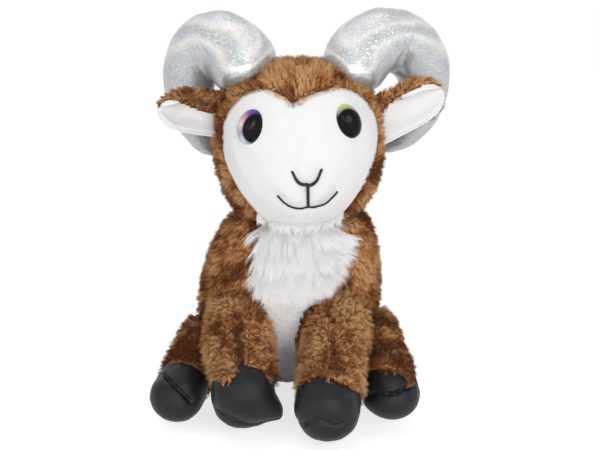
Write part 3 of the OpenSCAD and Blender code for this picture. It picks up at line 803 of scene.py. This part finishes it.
def brown_pile(name, skin, sown, flow_of, body, seed, share=1.0, parts=1, painted_shading_of=None):
    """Brown pile on the sown faces of a skin, in parts from the toy's right to its left."""
    plush = bpy.context.scene.ram_plush
    rng = np.random.default_rng(seed)
    root, up = sow(skin, sown, plush.density, rng)
    order = np.array_split(np.argsort(root[:, 0]), parts)
    pieces = []
    for i, part in enumerate(order):
        title = name if parts == 1 else f"{name}_{i + 1}"
        # Painted light and shade for this part of the pile
        tint = painted_shading_of(root[part]) if painted_shading_of else 0.0
        pile = grow(title, root[part], up[part], flow_of(root[part]), share * plush.length, plush.width,
                    seed + 1 + i, plush.lean, plush.clump, tint=tint)
        pieces.append(finish_piece(pile, finish("brown_pile"), body, "brown_plush"))
    return pieces


# Finishes

def new_material(name):
    """A new material, its nodes and its shader."""
    material = bpy.data.materials.new(name)
    material.use_nodes = True
    tree = material.node_tree
    return material, tree, tree.nodes["Principled BSDF"]


def feed(tree, node, inputs):
    """Sets the input sockets of a node, by a link where the value is a socket."""
    for key, value in inputs.items():
        if isinstance(value, bpy.types.NodeSocket):
            tree.links.new(value, node.inputs[key])
        else:
            node.inputs[key].default_value = value


def add(tree, kind, inputs=None, **values):
    """Adds a node, sets its values and feeds it."""
    node = tree.nodes.new(kind)
    for key, value in values.items():
        setattr(node, key, value)
    feed(tree, node, inputs or {})
    return node


def calc(tree, operation, a, b):
    """Works on two numbers or sockets."""
    return add(tree, "ShaderNodeMath", {0: a, 1: b}, operation=operation).outputs[0]


def calc_vector(tree, operation, inputs):
    """Works on vectors or sockets."""
    return add(tree, "ShaderNodeVectorMath", inputs, operation=operation).outputs[0]


def object_place(tree):
    """Place on the object."""
    return add(tree, "ShaderNodeTexCoord").outputs["Object"]


def noise_at(tree, place_of, scale, detail):
    """Noise over the object."""
    inputs = {"Vector": place_of, "Scale": scale, "Detail": detail}
    return add(tree, "ShaderNodeTexNoise", inputs).outputs["Fac"]


def relief(tree, height, strength):
    """Fine relief of cloth."""
    inputs = {"Height": height, "Strength": strength, "Distance": NAP}
    return add(tree, "ShaderNodeBump", inputs).outputs["Normal"]


def mapped(tree, layer):
    """Both sides of a map."""
    uv = add(tree, "ShaderNodeUVMap", uv_map=layer)
    return add(tree, "ShaderNodeSeparateXYZ", {"Vector": uv.outputs["UV"]}).outputs


def ramp(tree, fac, stops):
    """Colour ramp with (place, colour) stops."""
    node = add(tree, "ShaderNodeValToRGB", {"Fac": fac})
    elements = node.color_ramp.elements
    while len(elements) < len(stops):
        elements.new(0.5)
    for element, (at, colour) in zip(elements, stops):
        element.position = at
        element.color = (*colour, 1) if len(colour) == 3 else colour
    return node.outputs["Color"]


def grey(v):
    """A colour without a hue."""
    return (v, v, v)


def shaded(colour, share):
    """A darker or lighter colour."""
    return [share * v for v in colour]


def mix(tree, factor, a, b, blend="MIX"):
    """Colour mix of two sockets or colours."""
    node = add(tree, "ShaderNodeMix", data_type="RGBA", blend_type=blend)
    feed(tree, node, {0: factor, 6: a, 7: b})
    return node.outputs[2]


def strand_finish(name, stops, painted_root_shade, sheen, tint):
    """Strand colour by its own tone, with painted shade darkening it towards the root."""
    material, tree, shader = new_material(name)
    split = mapped(tree, "strand")
    body = ramp(tree, split["X"], stops)
    depth = ramp(tree, split["Y"], [(0, painted_root_shade), (0.75, grey(1))])
    feed(tree, shader, {"Base Color": mix(tree, 1.0, body, depth, "MULTIPLY"), "Roughness": 0.7,
                        "Specular IOR Level": 0.1, "Sheen Weight": sheen, "Sheen Roughness": 0.5,
                        "Sheen Tint": (*tint, 1)})
    return material


def cloth_finish(name, low, high, scale, rough=0.9, sheen=0.2, bump=0.3):
    """Cloth with a soft mottle and a fine nap."""
    material, tree, shader = new_material(name)
    coord = object_place(tree)
    colour = ramp(tree, noise_at(tree, coord, scale, 6), [(0.3, low), (0.7, high)])
    nap = noise_at(tree, coord, 2600, 3)
    feed(tree, shader, {"Base Color": colour, "Normal": relief(tree, nap, bump), "Roughness": rough,
                        "Specular IOR Level": 0.2, "Sheen Weight": sheen, "Sheen Roughness": 0.5})
    return material


def glitter_finish(settings):
    """Metal cloth with flecks that each tilt and tint their own way, thickest as painted glints where the
    cloth faces up and forward, over painted highlight bands of cream.
    """
    material, tree, shader = new_material("silver_glitter")
    coord = object_place(tree)
    cells = add(tree, "ShaderNodeTexVoronoi",
                {"Vector": coord, "Scale": 1 / settings.fleck, "Randomness": 1.0}).outputs["Color"]
    split = add(tree, "ShaderNodeSeparateColor", {"Color": cells}).outputs
    painted_glint = add(tree, "ShaderNodeAttribute", attribute_name="painted_glint").outputs["Fac"]
    highlight_band = add(tree, "ShaderNodeAttribute", attribute_name="highlight_band").outputs["Fac"]
    hue = add(tree, "ShaderNodeCombineColor",
              {"Red": split["Red"], "Green": 0.32, "Blue": 0.92}, mode="HSV").outputs["Color"]
    bright = ramp(tree, split["Green"], [(0.45, grey(0)), (0.8, grey(0.85))])
    # Painted glints: flecks show most where the cloth faces up and forward
    amount = calc(tree, "MULTIPLY", bright, painted_glint)
    silver, highlight_cream = list(settings.silver), list(settings.highlight_cream)
    # Painted highlight bands of cream over the silver, laid out by which way the cloth faces
    painted_highlights = ramp(tree, highlight_band, [(0.3, silver), (0.6, silver), (0.7, highlight_cream), (0.78, silver), (0.84, silver),
                               (0.9, highlight_cream), (0.97, silver)])
    thread = ramp(tree, noise_at(tree, coord, 160, 3), [(0.3, grey(0.9)), (0.7, grey(1.0))])
    ground = mix(tree, 1.0, painted_highlights, thread, "MULTIPLY")
    away = calc_vector(tree, "SUBTRACT", {0: cells, 1: grey(0.5)})
    tilt = calc_vector(tree, "SCALE", {0: away, "Scale": calc(tree, "MULTIPLY", amount, 0.7)})
    normal = add(tree, "ShaderNodeNewGeometry").outputs["Normal"]
    bent = calc_vector(tree, "ADD", {0: normal, 1: tilt})
    feed(tree, shader, {"Base Color": mix(tree, amount, ground, hue), "Metallic": 0.45, "Roughness": 0.34,
                        "Normal": calc_vector(tree, "NORMALIZE", {0: bent})})
    return material


def eye_finish(side):
    """Black glossy eye with a rim of coloured foil, laid out by the eye's own map."""
    material, tree, shader = new_material(f"eye_{side}")
    split = mapped(tree, "pupil")
    foil = ramp(tree, split["X"], FOILS[side])
    rim = ramp(tree, split["Y"], [(0.48, grey(0)), (0.54, grey(0.6)), (0.63, grey(1))])
    feed(tree, shader, {"Base Color": mix(tree, rim, (0.004, 0.004, 0.005, 1), foil), "Roughness": 0.09,
                        "Specular IOR Level": 0.12})
    return material


def hoof_finish(settings):
    """Black ribbed cloth."""
    material, tree, shader = new_material("black_nylon")
    coord = object_place(tree)
    ribs = add(tree, "ShaderNodeTexWave",
               {"Vector": coord, "Scale": math.tau / 20 / settings.rib, "Distortion": 0.6, "Detail": 2},
               bands_direction="Z").outputs["Fac"]
    black = settings.black
    colour = ramp(tree, noise_at(tree, coord, 90, 5), [(0.3, shaded(black, 0.8)), (0.7, shaded(black, 1.25))])
    feed(tree, shader, {"Base Color": colour, "Normal": relief(tree, ribs, 0.5), "Roughness": 0.45,
                        "Specular IOR Level": 0.25})
    return material


FINISHES = {}


def finish(name):
    """A finish of this toy, made once."""
    if name not in FINISHES:
        scene = bpy.context.scene
        plush, velour = scene.ram_plush, scene.ram_face.white
        white = list(scene.ram_chest.white)
        browns = [(0, plush.dark), (0.5, plush.middle), (1, plush.light)]
        makers = {
            "brown_pile": lambda: strand_finish(name, browns, plush.root, 0.05, (1, 0.7, 0.4)),
            # Painted shade: the backing is coloured darker than the pile, so the gaps between tufts read as
            # shade
            "brown_backing": lambda: cloth_finish(
                name, shaded(plush.dark, 0.5), shaded(plush.middle, 0.3), 300),
            # Painted shade: white strands darkened towards the root, as these strands cast no shadow
            "white_pile": lambda: strand_finish(
                name, [(0, shaded(white, 0.8)), (1, white)], grey(0.75), 0.1, grey(1)),
            "white_backing": lambda: cloth_finish(name, shaded(white, 0.85), shaded(white, 0.95), 300),
            "white_velour": lambda: cloth_finish(
                name, shaded(velour, 0.97), velour, 120, sheen=0.35, bump=0.35),
            "eye_left": lambda: eye_finish("left"),
            "eye_right": lambda: eye_finish("right"),
            "silver_glitter": lambda: glitter_finish(scene.ram_horns),
            "black_nylon": lambda: hoof_finish(scene.ram_hooves),
            "black_thread": lambda: cloth_finish(
                name, (0.012, 0.012, 0.013), (0.03, 0.03, 0.032), 900, rough=0.6, sheen=0.1),
            "white_plastic": lambda: cloth_finish(
                name, (0.7, 0.7, 0.68), (0.75, 0.75, 0.73), 60, rough=0.45, sheen=0, bump=0.05),
        }
        FINISHES[name] = makers[name]()
    return FINISHES[name]


# Pieces

class RAM_OT_body(bpy.types.Operator):
    """Brown plush body with its white chest"""
    bl_idname = "ram.body"
    bl_label = "Body and chest"

    def execute(self, context):
        plush, chest = context.scene.ram_plush, context.scene.ram_chest
        seed = SEEDS["chest"]
        skin = stuffed("body_cloth", TORSO_NODES, BODY_FORM, plush.inset)
        co = points(skin)
        co[co[:, 2] < SEAT_BAND, 2] = REST
        place(skin, co)
        centre = face_centres(skin)
        white = (within_loop(centre, CHEST_EDGE) > 0) & (face_normals(skin)[:, 1] < 0.2)
        panel = distance(node_tree("chest_panel"), centre)
        lowest, highest = FAN_ROWS
        below_chin = seen_at(centre)[:, 1] > highest
        white &= np.where(below_chin, panel < 12 * MM, panel < distance(node_tree("body_skin"), centre))
        resting = centre[:, 2] < 2.5 * MM
        covered = distance(node_tree(*LEGS), centre) < 3.2 * MM
        bib = node_tree("chest_panel")

        def painted_shading_of(root):
            """Painted shade: darker strands, darkest beside the chest where shade falls."""
            return PAINTED_SHADING["body"] + PAINTED_SHADING["beside_chest"] * np.exp(-distance(bib, root) / (12 * MM))

        brown_pile("body_pile", skin, ~white & ~resting & ~covered, all_down, "torso", SEEDS["body"],
                   parts=3, painted_shading_of=painted_shading_of)
        root, up = sow(skin, white & ~resting, chest.density, np.random.default_rng(seed))
        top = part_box("chest_panel")[1].z
        high = smooth_step((root[:, 2] - 0.55 * top) / (0.2 * top))
        across = (root[:, 0] - node_points("chest_panel")[:, 0].mean()) / MM
        parted = 0.12 * np.maximum(0, across - 8) - 0.025 * np.maximum(0, -across - 10)
        row = seen_at(root)[:, 1]
        opening = smooth_step((row - highest) / 10) * smooth_step((lowest - row) / 15)
        fan = 0.003 * across + parted * opening
        flow = np.stack([fan, np.zeros(len(root)), np.full(len(root), -1.0)], axis=1)
        length = chest.short_length + (chest.long_length - chest.short_length) * high
        piles = []
        for i, part in enumerate(np.array_split(np.argsort(root[:, 2]), 2)):
            lean, spread = (chest.long_lean, 0.18) if i else (chest.short_lean, 0.42)
            pile = grow(f"chest_pile_{i + 1}", root[part], up[part], flow[part], length[part], chest.width,
                        seed + 1 + i, lean, 0.35, levels=2, spread=spread, contrast=0.9, soften=1.0)
            pile.visible_shadow = False
            piles.append(pile)
        finish_piece(skin, finish("brown_backing"), "torso", "brown_plush", "body_skin", "seat_panel",
                     "body_fill", "pellet_bag", "neck_seam", "tail_seam", *(f"{n}_seam" for n in LEGS))
        skin.data.materials.append(finish("white_backing"))
        skin.data.polygons.foreach_set("material_index", white.astype(np.int32))
        for pile in piles:
            finish_piece(pile, finish("white_pile"), "torso", "white_pile", "chest_panel")
        return {"FINISHED"}


class RAM_OT_head(bpy.types.Operator):
    """Brown hood with its pile, the white velour face and its stitched nose and mouth"""
    bl_idname = "ram.head"
    bl_label = "Hood and face"

    def execute(self, context):
        scene = context.scene
        plush, chest, face = scene.ram_plush, scene.ram_chest, scene.ram_face
        skin = stuffed("hood_cloth", HEAD_NODES, HEAD_FORM, plush.inset)
        swell(skin, face.cheek * smooth_step((points(skin)[:, 0] - 40 * MM) / (15 * MM)))
        hood_tree, face_tree = node_tree("head_hood"), node_tree("face_panel")

        def bare(co):
            """How far inside the bare face points are."""
            nearer = distance(hood_tree, co) - distance(face_tree, co)
            return np.minimum(nearer, within_loop(co, FACE_EDGE))

        velour = copy_of(skin, "face_velour")
        keep_faces(velour, bare(face_centres(skin)) > -4 * MM)
        finer(velour)
        swell(velour, (0.1 + 0.9 * smooth_step(bare(points(velour)) / face.seam_roll)) * plush.inset)
        keep_faces(velour, bare(face_centres(velour)) > -0.3 * MM)
        relax(velour, RIM_PASSES)
        drag(velour, "chin")
        near = distance(node_tree("nose_stitching", "mouth_stitching"), points(velour))
        swell(velour, -face.stitch_dent * bell(near, STITCH_WIDTH))
        draw_in(velour, seen_line(velour, BROW), -face.ridge, BROW_WIDTH)
        shell = tree_of(velour.data)
        centre = face_centres(velour)
        grazing = np.abs(facing(centre, face_normals(velour)) - 0.1) < 0.25
        chin = grazing & (centre[:, 2] < centre[:, 2].min() + 7 * MM)
        rng = np.random.default_rng(SEEDS["chin"])
        root, up = sow(velour, chin, 1.6 * chest.density, rng)
        length = chest.fringe * rng.uniform(0.3, 1.1, len(root))
        fringe = grow("chin_pile", root, unit(0.35 * up + (0, -1, 0.2)), all_down(root), length, chest.width,
                      SEEDS["chin"] + 1, chest.fringe_lean, 0.2, levels=2, per_tuft=24, spread=0.3,
                      contrast=0.8, soften=1.0)
        fringe.visible_shadow = False
        finish_piece(fringe, finish("white_pile"), "head", "white_pile")
        modify(velour, "SOLIDIFY", thickness=1.2 * MM, offset=-1)
        shade(velour)
        middle = node_points("face_panel").mean(0) + (0, 20 * MM, 0)
        low = points(skin)[:, 2].min()

        def combed(root):
            """Away from the face, but over its edge along the brow."""
            brow = smooth_step((root[:, 2] - middle[2]) / (20 * MM))
            over = 1.6 * bell(bare(root), 4 * MM) * brow
            return unit(root - middle) * (1 - over)[:, None]

        def painted_shading_of(root):
            """Painted shade: darker strands towards the neck, where the hood is in shade."""
            return PAINTED_SHADING["neck"] * smooth_step(1.6 - (root[:, 2] - low) / (35 * MM))

        brown_pile("hood_pile", skin, bare(face_centres(skin)) < 1 * MM, combed, "head", SEEDS["hood"],
                   parts=2, painted_shading_of=painted_shading_of)
        finish_piece(skin, finish("brown_backing"), "head", "brown_plush", "head_hood", "head_fill",
                     "ear_left_seam", "ear_right_seam")
        finish_piece(velour, finish("white_velour"), "head", "white_velour", "face_panel")
        for name in ("nose", "mouth"):
            thread = cast(f"{name}_thread", f"{name}_stitching")
            thinner = 1.1 if name == "mouth" else 0.5
            cell, passes = THREAD_FORM
            modify(thread, "REMESH", mode="VOXEL", voxel_size=cell)
            modify(thread, "SMOOTH", factor=0.5, iterations=passes)
            modify(thread, "DISPLACE", strength=-face.thin_thread * thinner, mid_level=0)
            if name == "nose":
                place(thread, rounded_nose(points(thread)))
            sit = []
            for p in points(thread):
                on_cad = face_tree.find_nearest(p)[0]
                sit.append(Vector(p) + shell.find_nearest(on_cad)[0] - on_cad)
            place(thread, sit)
            shade(thread)
            finish_piece(thread, finish("black_thread"), "head", "black_thread", f"{name}_stitching")
        return {"FINISHED"}


def rounded_nose(co):
    """The nose with its bend drawn round by the thread, and its stem drawn down to the mouth."""
    low, high = co.min(0), co.max(0)
    across = np.abs(co[:, 0] - (high[0] + low[0]) / 2) / (high[0] - low[0]) * 2
    bend = high[2] - 1.1 * (high[2] - co[across > 0.3, 2].min())
    arms = co[:, 2] > bend - 1.5 * MM
    stem = smooth_step((bend - co[:, 2]) / (bend - low[2]))
    co[arms, 2] -= 0.55 * (high[2] - bend) * (across * (1 - across))[arms]
    co[:, 2] -= STEM_DROP * stem
    return co


class RAM_OT_eyes(bpy.types.Operator):
    """Domed eyes with a rim of coloured foil, and the washers behind them"""
    bl_idname = "ram.eyes"
    bl_label = "Eyes"

    def execute(self, context):
        for side in SIDES:
            washer = node_points(f"eye_washer_{side}")
            out = np.linalg.svd(washer - washer.mean(0), full_matrices=False)[2][2]
            out = out * -np.sign(out[1])
            dome = node_points(f"eye_{side}") - washer.mean(0)
            flat = dome - np.outer(dome @ out, out)
            dome = dome[np.linalg.norm(flat, axis=1) > SHANK]
            flat = dome - np.outer(dome @ out, out)
            tall = np.linalg.svd(flat - flat.mean(0), full_matrices=False)[2][0]
            tall = tall * np.sign(tall[2])
            wide = np.cross(tall, out)
            wide = wide * np.sign(wide[0])
            along = np.stack([dome @ wide, dome @ tall, dome @ out])
            low, high = along.min(1), along.max(1)
            half, middle = (high - low) / 2, (high + low) / 2
            bpy.ops.object.select_all(action="DESELECT")
            bpy.ops.mesh.primitive_uv_sphere_add(segments=40, ring_count=20, radius=1)
            eye = context.object
            eye.name = eye.data.name = f"eye_{side}_dome"
            ball = points(eye)
            depth = np.where(ball[:, 2] > 0, 2 * half[2], 0.8 * half[2])
            place(eye, washer.mean(0) + np.outer(middle[0] + half[0] * ball[:, 0], wide)
                  + np.outer(middle[1] + half[1] * ball[:, 1], tall)
                  + np.outer(low[2] + depth * ball[:, 2], out))
            edit(eye, bpy.ops.mesh.normals_make_consistent, inside=False)
            shade(eye)
            px, py, size = PUPILS[side]
            aim = math.atan2(-py, -px)
            layer = eye.data.uv_layers.new(name="pupil")
            for loop in eye.data.loops:
                x, y = ball[loop.vertex_index][:2] - (px, py)
                turn = (math.atan2(y, x) - aim + math.pi) % math.tau - math.pi
                layer.data[loop.index].uv = (0.5 + turn / math.tau, math.hypot(x, y) / size / 2)
            finish_piece(eye, finish(f"eye_{side}"), "head", "eye", f"eye_{side}")
            ring = frame["nodes"][f"eye_washer_{side}"]
            ring.data.materials.clear()
            ring.data.materials.append(finish("white_plastic"))
        return {"FINISHED"}


class RAM_OT_horns(bpy.types.Operator):
    """Curled stuffed horns of glitter cloth"""
    bl_idname = "ram.horns"
    bl_label = "Horns"

    def execute(self, context):
        settings = context.scene.ram_horns
        for side in SIDES:
            nodes = (f"horn_{side}", f"horn_{side}_fill")
            horn = stuffed(f"horn_{side}_glitter", nodes, HORN_FORM)
            sewn = distance(node_tree("head_hood"), points(horn)) < 4 * MM
            puff(horn, sewn, settings.puff)
            finer(horn)
            middle = node_points(f"horn_{side}").mean(0)
            inside = np.clip((normals(horn) * unit(middle - points(horn))).sum(1), 0, 1)
            swell(horn, settings.stout + settings.full * smooth_step(inside))
            co = points(horn)
            tip = np.linalg.norm(co - co[co[:, 2].argmin()], axis=1)
            relax(horn, HORN_PASSES, 0.25 + 0.75 * smooth_step(tip / (30 * MM)))
            drag(horn, f"horn_{side}")
            depth = settings.crease if side == "left" else settings.shallow
            bend = seen_line(horn, BENDS[side])
            for k in range(1, len(bend)):
                draw_in(horn, bend[k - 1:], depth / len(bend), BEND_WIDTH)
            sunk, reach = HORN_ROOT
            root = smooth_step(1 - distance(node_tree("head_hood", "face_panel"), points(horn)) / reach)
            inward = unit(node_points("head_hood").mean(0) - points(horn))
            place(horn, points(horn) + inward * sunk * root[:, None])
            # Painted glints: flecks thickest where the cloth faces up and forward, towards the lamps
            painted_glint = 0.55 + 0.8 * normals(horn) @ unit(np.array(GLINT_WAY))
            # Painted highlight bands, laid out by which way the cloth faces
            highlight_band = 0.5 + 0.5 * normals(horn) @ unit(np.array(HIGHLIGHT_BAND_WAY))
            highlight_band += 0.05 * patches(points(horn), 14 * MM, SEEDS["highlight_bands"])
            for name, values in (("painted_glint", painted_glint), ("highlight_band", highlight_band)):
                layer = horn.data.attributes.new(name, "FLOAT", "POINT")
                layer.data.foreach_set("value", np.clip(values, 0, 1))
            shade(horn)
            finish_piece(horn, finish("silver_glitter"), "head", "silver_glitter", *nodes)
        return {"FINISHED"}


class RAM_OT_ears(bpy.types.Operator):
    """Cupped ears, plush behind and velour inside, sewn into the hood"""
    bl_idname = "ram.ears"
    bl_label = "Ears"

    def execute(self, context):
        face = context.scene.ram_face
        for i, side in enumerate(SIDES):
            back, lining, body = f"ear_{side}_back", f"ear_{side}_lining", f"ear_{side}"
            skin = rounded(f"ear_{side}_plush", back, 2)
            velour = rounded(f"ear_{side}_velour", lining, 2)
            modify(velour, "DISPLACE", strength=0.6 * MM, mid_level=0)
            pivot = joint_place(body)
            out = unit(node_points(lining).mean(0) - pivot)
            for piece in (skin, velour):
                sink_root(piece, pivot, out, EAR_ROOT)
                drag(piece, body)
            keep_faces(velour, ~above_line(face_centres(velour), LINING_EDGES[side]))
            draw_in(velour, seen_line(velour, FOLDS[side]), face.fold, FOLD_WIDTH)
            centre = face_centres(skin)
            near = distance(node_tree(lining), centre)
            upper = above_line(centre, LINING_EDGES[side])
            front = face_normals(skin)[:, 1] < 0.1
            sown = upper | ((near > 0.5 * MM) & (facing(centre, face_normals(skin)) < -0.6))
            piles = brown_pile(f"ear_{side}_pile", skin, sown, lambda root: np.tile(out, (len(root), 1)),
                               None, SEEDS["ears"] + 2 * i, share=0.7)
            finish_piece(skin, finish("brown_backing"), None, "brown_plush", back)
            skin.data.materials.append(finish("white_velour"))
            skin.data.polygons.foreach_set("material_index", (front & ~upper).astype(np.int32))
            finish_piece(velour, finish("white_velour"), None, "white_velour", lining)
            for piece in (skin, velour, *piles):
                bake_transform(piece)
        return {"FINISHED"}


class RAM_OT_legs(bpy.types.Operator):
    """Plush legs with black cloth hooves"""
    bl_idname = "ram.legs"
    bl_label = "Legs and hooves"

    def execute(self, context):
        plush, settings = context.scene.ram_plush, context.scene.ram_hooves
        torso = node_tree(*TORSO_NODES[:2])
        for i, leg in enumerate(LEGS):
            hoof, fill = leg.replace("_leg_", "_hoof_"), f"{leg}_fill"
            ankle, down = ankle_of(leg, hoof)
            skin = stuffed(f"{leg}_cloth", (leg, fill, hoof), LEG_FORM)
            drag(skin, leg)
            backing = plush.inset - 1.5 * MM

            def past_hem(co, out):
                """How far past its hem a place on the leg is, by the photograph where that shows it."""
                at = seen_at(co)
                x, y = np.array(HEMS[leg], float).T
                shown = (at[:, 1] - np.interp(at[:, 0], x, y)) * pixel_size(co)
                hidden = (co - ankle) @ down + 2 * MM
                seen = smooth_step(facing(co, out) / 0.35)
                return shown * seen + hidden * (1 - seen)

            beyond = past_hem(points(skin), normals(skin))
            along = (points(skin) - ankle) @ down
            cuff = smooth_step((along + 6 * MM) / (6 * MM))
            rise = (backing + 1.4 * MM) * cuff * smooth_step(-beyond / (3 * MM)) - backing
            swell(skin, rise - 4 * MM * smooth_step(beyond / (5 * MM)))
            valley = seen_line(skin, VALLEYS[leg]) if leg in VALLEYS else None
            if valley is not None:
                draw_in(skin, valley, VALLEY_DEPTH, VALLEY_WIDTH)
                valley = seen_line(skin, VALLEYS[leg])

            def painted_shading_of(root):
                """Painted shade darkens the strands in the parting of the plush and on the rear legs; painted
                light lightens the rest of the front legs.
                """
                if valley is None:
                    return PAINTED_SHADING["rear_leg"]
                return PAINTED_SHADING["front_leg"] + PAINTED_SHADING["parting"] * bell(from_line(root, valley), PARTING_WIDTH)

            def flow_of(root):
                """Down the leg, and away from the parting."""
                flow = np.tile(down, (len(root), 1))
                if valley is None:
                    return flow
                away = off_line(root, valley)
                near = np.linalg.norm(away, axis=1, keepdims=True)
                return flow + 1.5 * unit(away) * bell(near, 6 * MM)

            centre = face_centres(skin)
            sown = (past_hem(centre, face_normals(skin)) < -0.8 * MM) & (distance(torso, centre) > 3 * MM)
            piles = brown_pile(f"{leg}_pile", skin, sown, flow_of, None, SEEDS["legs"] + 2 * i,
                               painted_shading_of=painted_shading_of)
            finish_piece(skin, finish("brown_backing"), None, "brown_plush", leg, fill)
            for piece in (skin, *piles):
                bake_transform(piece)
            shoe = stuffed(f"{hoof}_cloth", (hoof, fill), HOOF_FORM)
            edit(shoe, bpy.ops.mesh.bisect, plane_co=ankle - 1.5 * MM * down, plane_no=down,
                 clear_inner=True, use_fill=True)
            puff(shoe, (points(shoe) - ankle) @ down < 1 * MM, settings.puff)
            finer(shoe)
            drag(shoe, hoof)
            co = points(shoe)
            co[:, 2] = np.maximum(co[:, 2], REST)
            place(shoe, co)
            cleft = seen_line(shoe, CLEFTS[hoof])
            draw_in(shoe, cleft, 0.5 * settings.crease, CLEFT_DIP)
            finer(shoe)
            draw_in(shoe, cleft, settings.crease * (1.5 if "rear" in leg else 1), CLEFT_WIDTH)
            shade(shoe)
            finish_piece(shoe, finish("black_nylon"), leg, "black_nylon", hoof)
        return {"FINISHED"}


def ankle_of(leg, hoof):
    """Middle of the ring where a leg meets its hoof, and the direction towards the toe."""
    a, b = node_points(leg), node_points(hoof)
    tree = KDTree(len(b))
    for i, p in enumerate(b):
        tree.insert(p, i)
    tree.balance()
    ring = a[np.array([tree.find(p)[2] < MERGE for p in a])]
    middle = (ring.max(0) + ring.min(0)) / 2
    down = np.linalg.svd(ring - ring.mean(0), full_matrices=False)[2][2]
    return middle, down * np.sign(down @ (b.mean(0) - middle))


class RAM_OT_tail(bpy.types.Operator):
    """Short plush tail"""
    bl_idname = "ram.tail"
    bl_label = "Tail"

    def execute(self, context):
        plush = context.scene.ram_plush
        skin = stuffed("tail_cloth", ("tail",), TAIL_FORM, plush.inset * 0.7)
        pivot = joint_place("tail")
        out = unit(node_points("tail").mean(0) - pivot)
        sink_root(skin, pivot, out, TAIL_ROOT)
        everywhere = np.ones(len(skin.data.polygons), bool)
        piles = brown_pile("tail_pile", skin, everywhere, lambda root: root - pivot, None, SEEDS["tail"])
        finish_piece(skin, finish("brown_backing"), None, "brown_plush", "tail")
        for piece in (skin, *piles):
            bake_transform(piece)
        return {"FINISHED"}


class RAM_OT_stage(bpy.types.Operator):
    """Camera, lamps, floor and background"""
    bl_idname = "ram.stage"
    bl_label = "Stage"

    def execute(self, context):
        stage = context.scene.ram_stage
        bpy.ops.object.select_all(action="DESELECT")
        bpy.ops.mesh.primitive_plane_add(size=6)
        floor = context.object
        floor.name = "floor"
        material, tree, shader = new_material("floor")
        feed(tree, shader, {"Base Color": (*stage.floor, 1), "Roughness": 0.9})
        part = calc(tree, "MULTIPLY", looked_at(tree), FLOOR_GLOW)
        bright = add(tree, "ShaderNodeEmission", {"Color": (1, 1, 1, 1), "Strength": part})
        mixed = add(tree, "ShaderNodeAddShader", {0: shader.outputs[0], 1: bright.outputs[0]})
        feed(tree, tree.nodes["Material Output"], {"Surface": mixed.outputs[0]})
        floor.data.materials.append(material)
        world = bpy.data.worlds.new("studio")
        context.scene.world = world
        world.use_nodes = True
        tree = world.node_tree
        level = add(tree, "ShaderNodeMapRange",
                    {"Value": looked_at(tree), "To Min": WORLD_LIGHT, "To Max": 1.0}).outputs[0]
        feed(tree, tree.nodes["Background"], {"Color": (1, 1, 1, 1), "Strength": level})
        for name, (at, size, power) in LAMPS.items():
            lamp(name, at, size, power)
        data = bpy.data.cameras.new("camera")
        data.sensor_width = SENSOR
        data.lens = stage.lens
        camera = new_object("camera", data)
        camera.location = stage.camera
        camera.rotation_euler = (math.radians(90) - stage.pitch, 0, 0)
        context.scene.camera = camera
        context.scene.view_settings.view_transform = "Standard"
        return {"FINISHED"}


def looked_at(tree):
    """1 for a ray that is seen straight, in a gloss or through glass, else 0."""
    ray = add(tree, "ShaderNodeLightPath").outputs
    seen = calc(tree, "MAXIMUM", ray["Is Camera Ray"], ray["Is Glossy Ray"])
    return calc(tree, "MAXIMUM", seen, ray["Is Transmission Ray"])


def lamp(name, at, size, power):
    """Soft round lamp that points at the toy's chest."""
    data = bpy.data.lights.new(name, "AREA")
    data.shape, data.size, data.energy = "DISK", size, power
    o = new_object(name, data)
    o.location = at
    o.rotation_euler = (Vector(LAMP_AIM) - Vector(at)).to_track_quat("-Z", "Y").to_euler()


class RAM_PT_panel(bpy.types.Panel):
    """Lists the steps that dress the ram"""
    bl_label = "Stuffed ram"
    bl_space_type = "VIEW_3D"
    bl_region_type = "UI"
    bl_category = "Ram"

    def draw(self, context):
        for step in STEPS:
            self.layout.operator(step.bl_idname)


SETTINGS = {"ram_plush": RamPlush, "ram_chest": RamChest, "ram_face": RamFace, "ram_horns": RamHorns,
            "ram_hooves": RamHooves, "ram_stage": RamStage}
STEPS = (RAM_OT_stage, RAM_OT_body, RAM_OT_head, RAM_OT_eyes, RAM_OT_horns, RAM_OT_ears, RAM_OT_legs,
         RAM_OT_tail)
CLASSES = (*SETTINGS.values(), *STEPS, RAM_PT_panel)


def register():
    """Adds the settings, steps and panel."""
    for group in CLASSES:
        bpy.utils.register_class(group)
    for name, group in SETTINGS.items():
        setattr(bpy.types.Scene, name, bpy.props.PointerProperty(type=group))


def unregister():
    """Takes the settings, steps and panel away."""
    for name in SETTINGS:
        delattr(bpy.types.Scene, name)
    for group in reversed(CLASSES):
        bpy.utils.unregister_class(group)


def main():
    """Dresses the ram."""
    register()
    for step in STEPS:
        area, name = step.bl_idname.split(".")
        getattr(getattr(bpy.ops, area), name)()


if __name__ == "__main__":
    main()
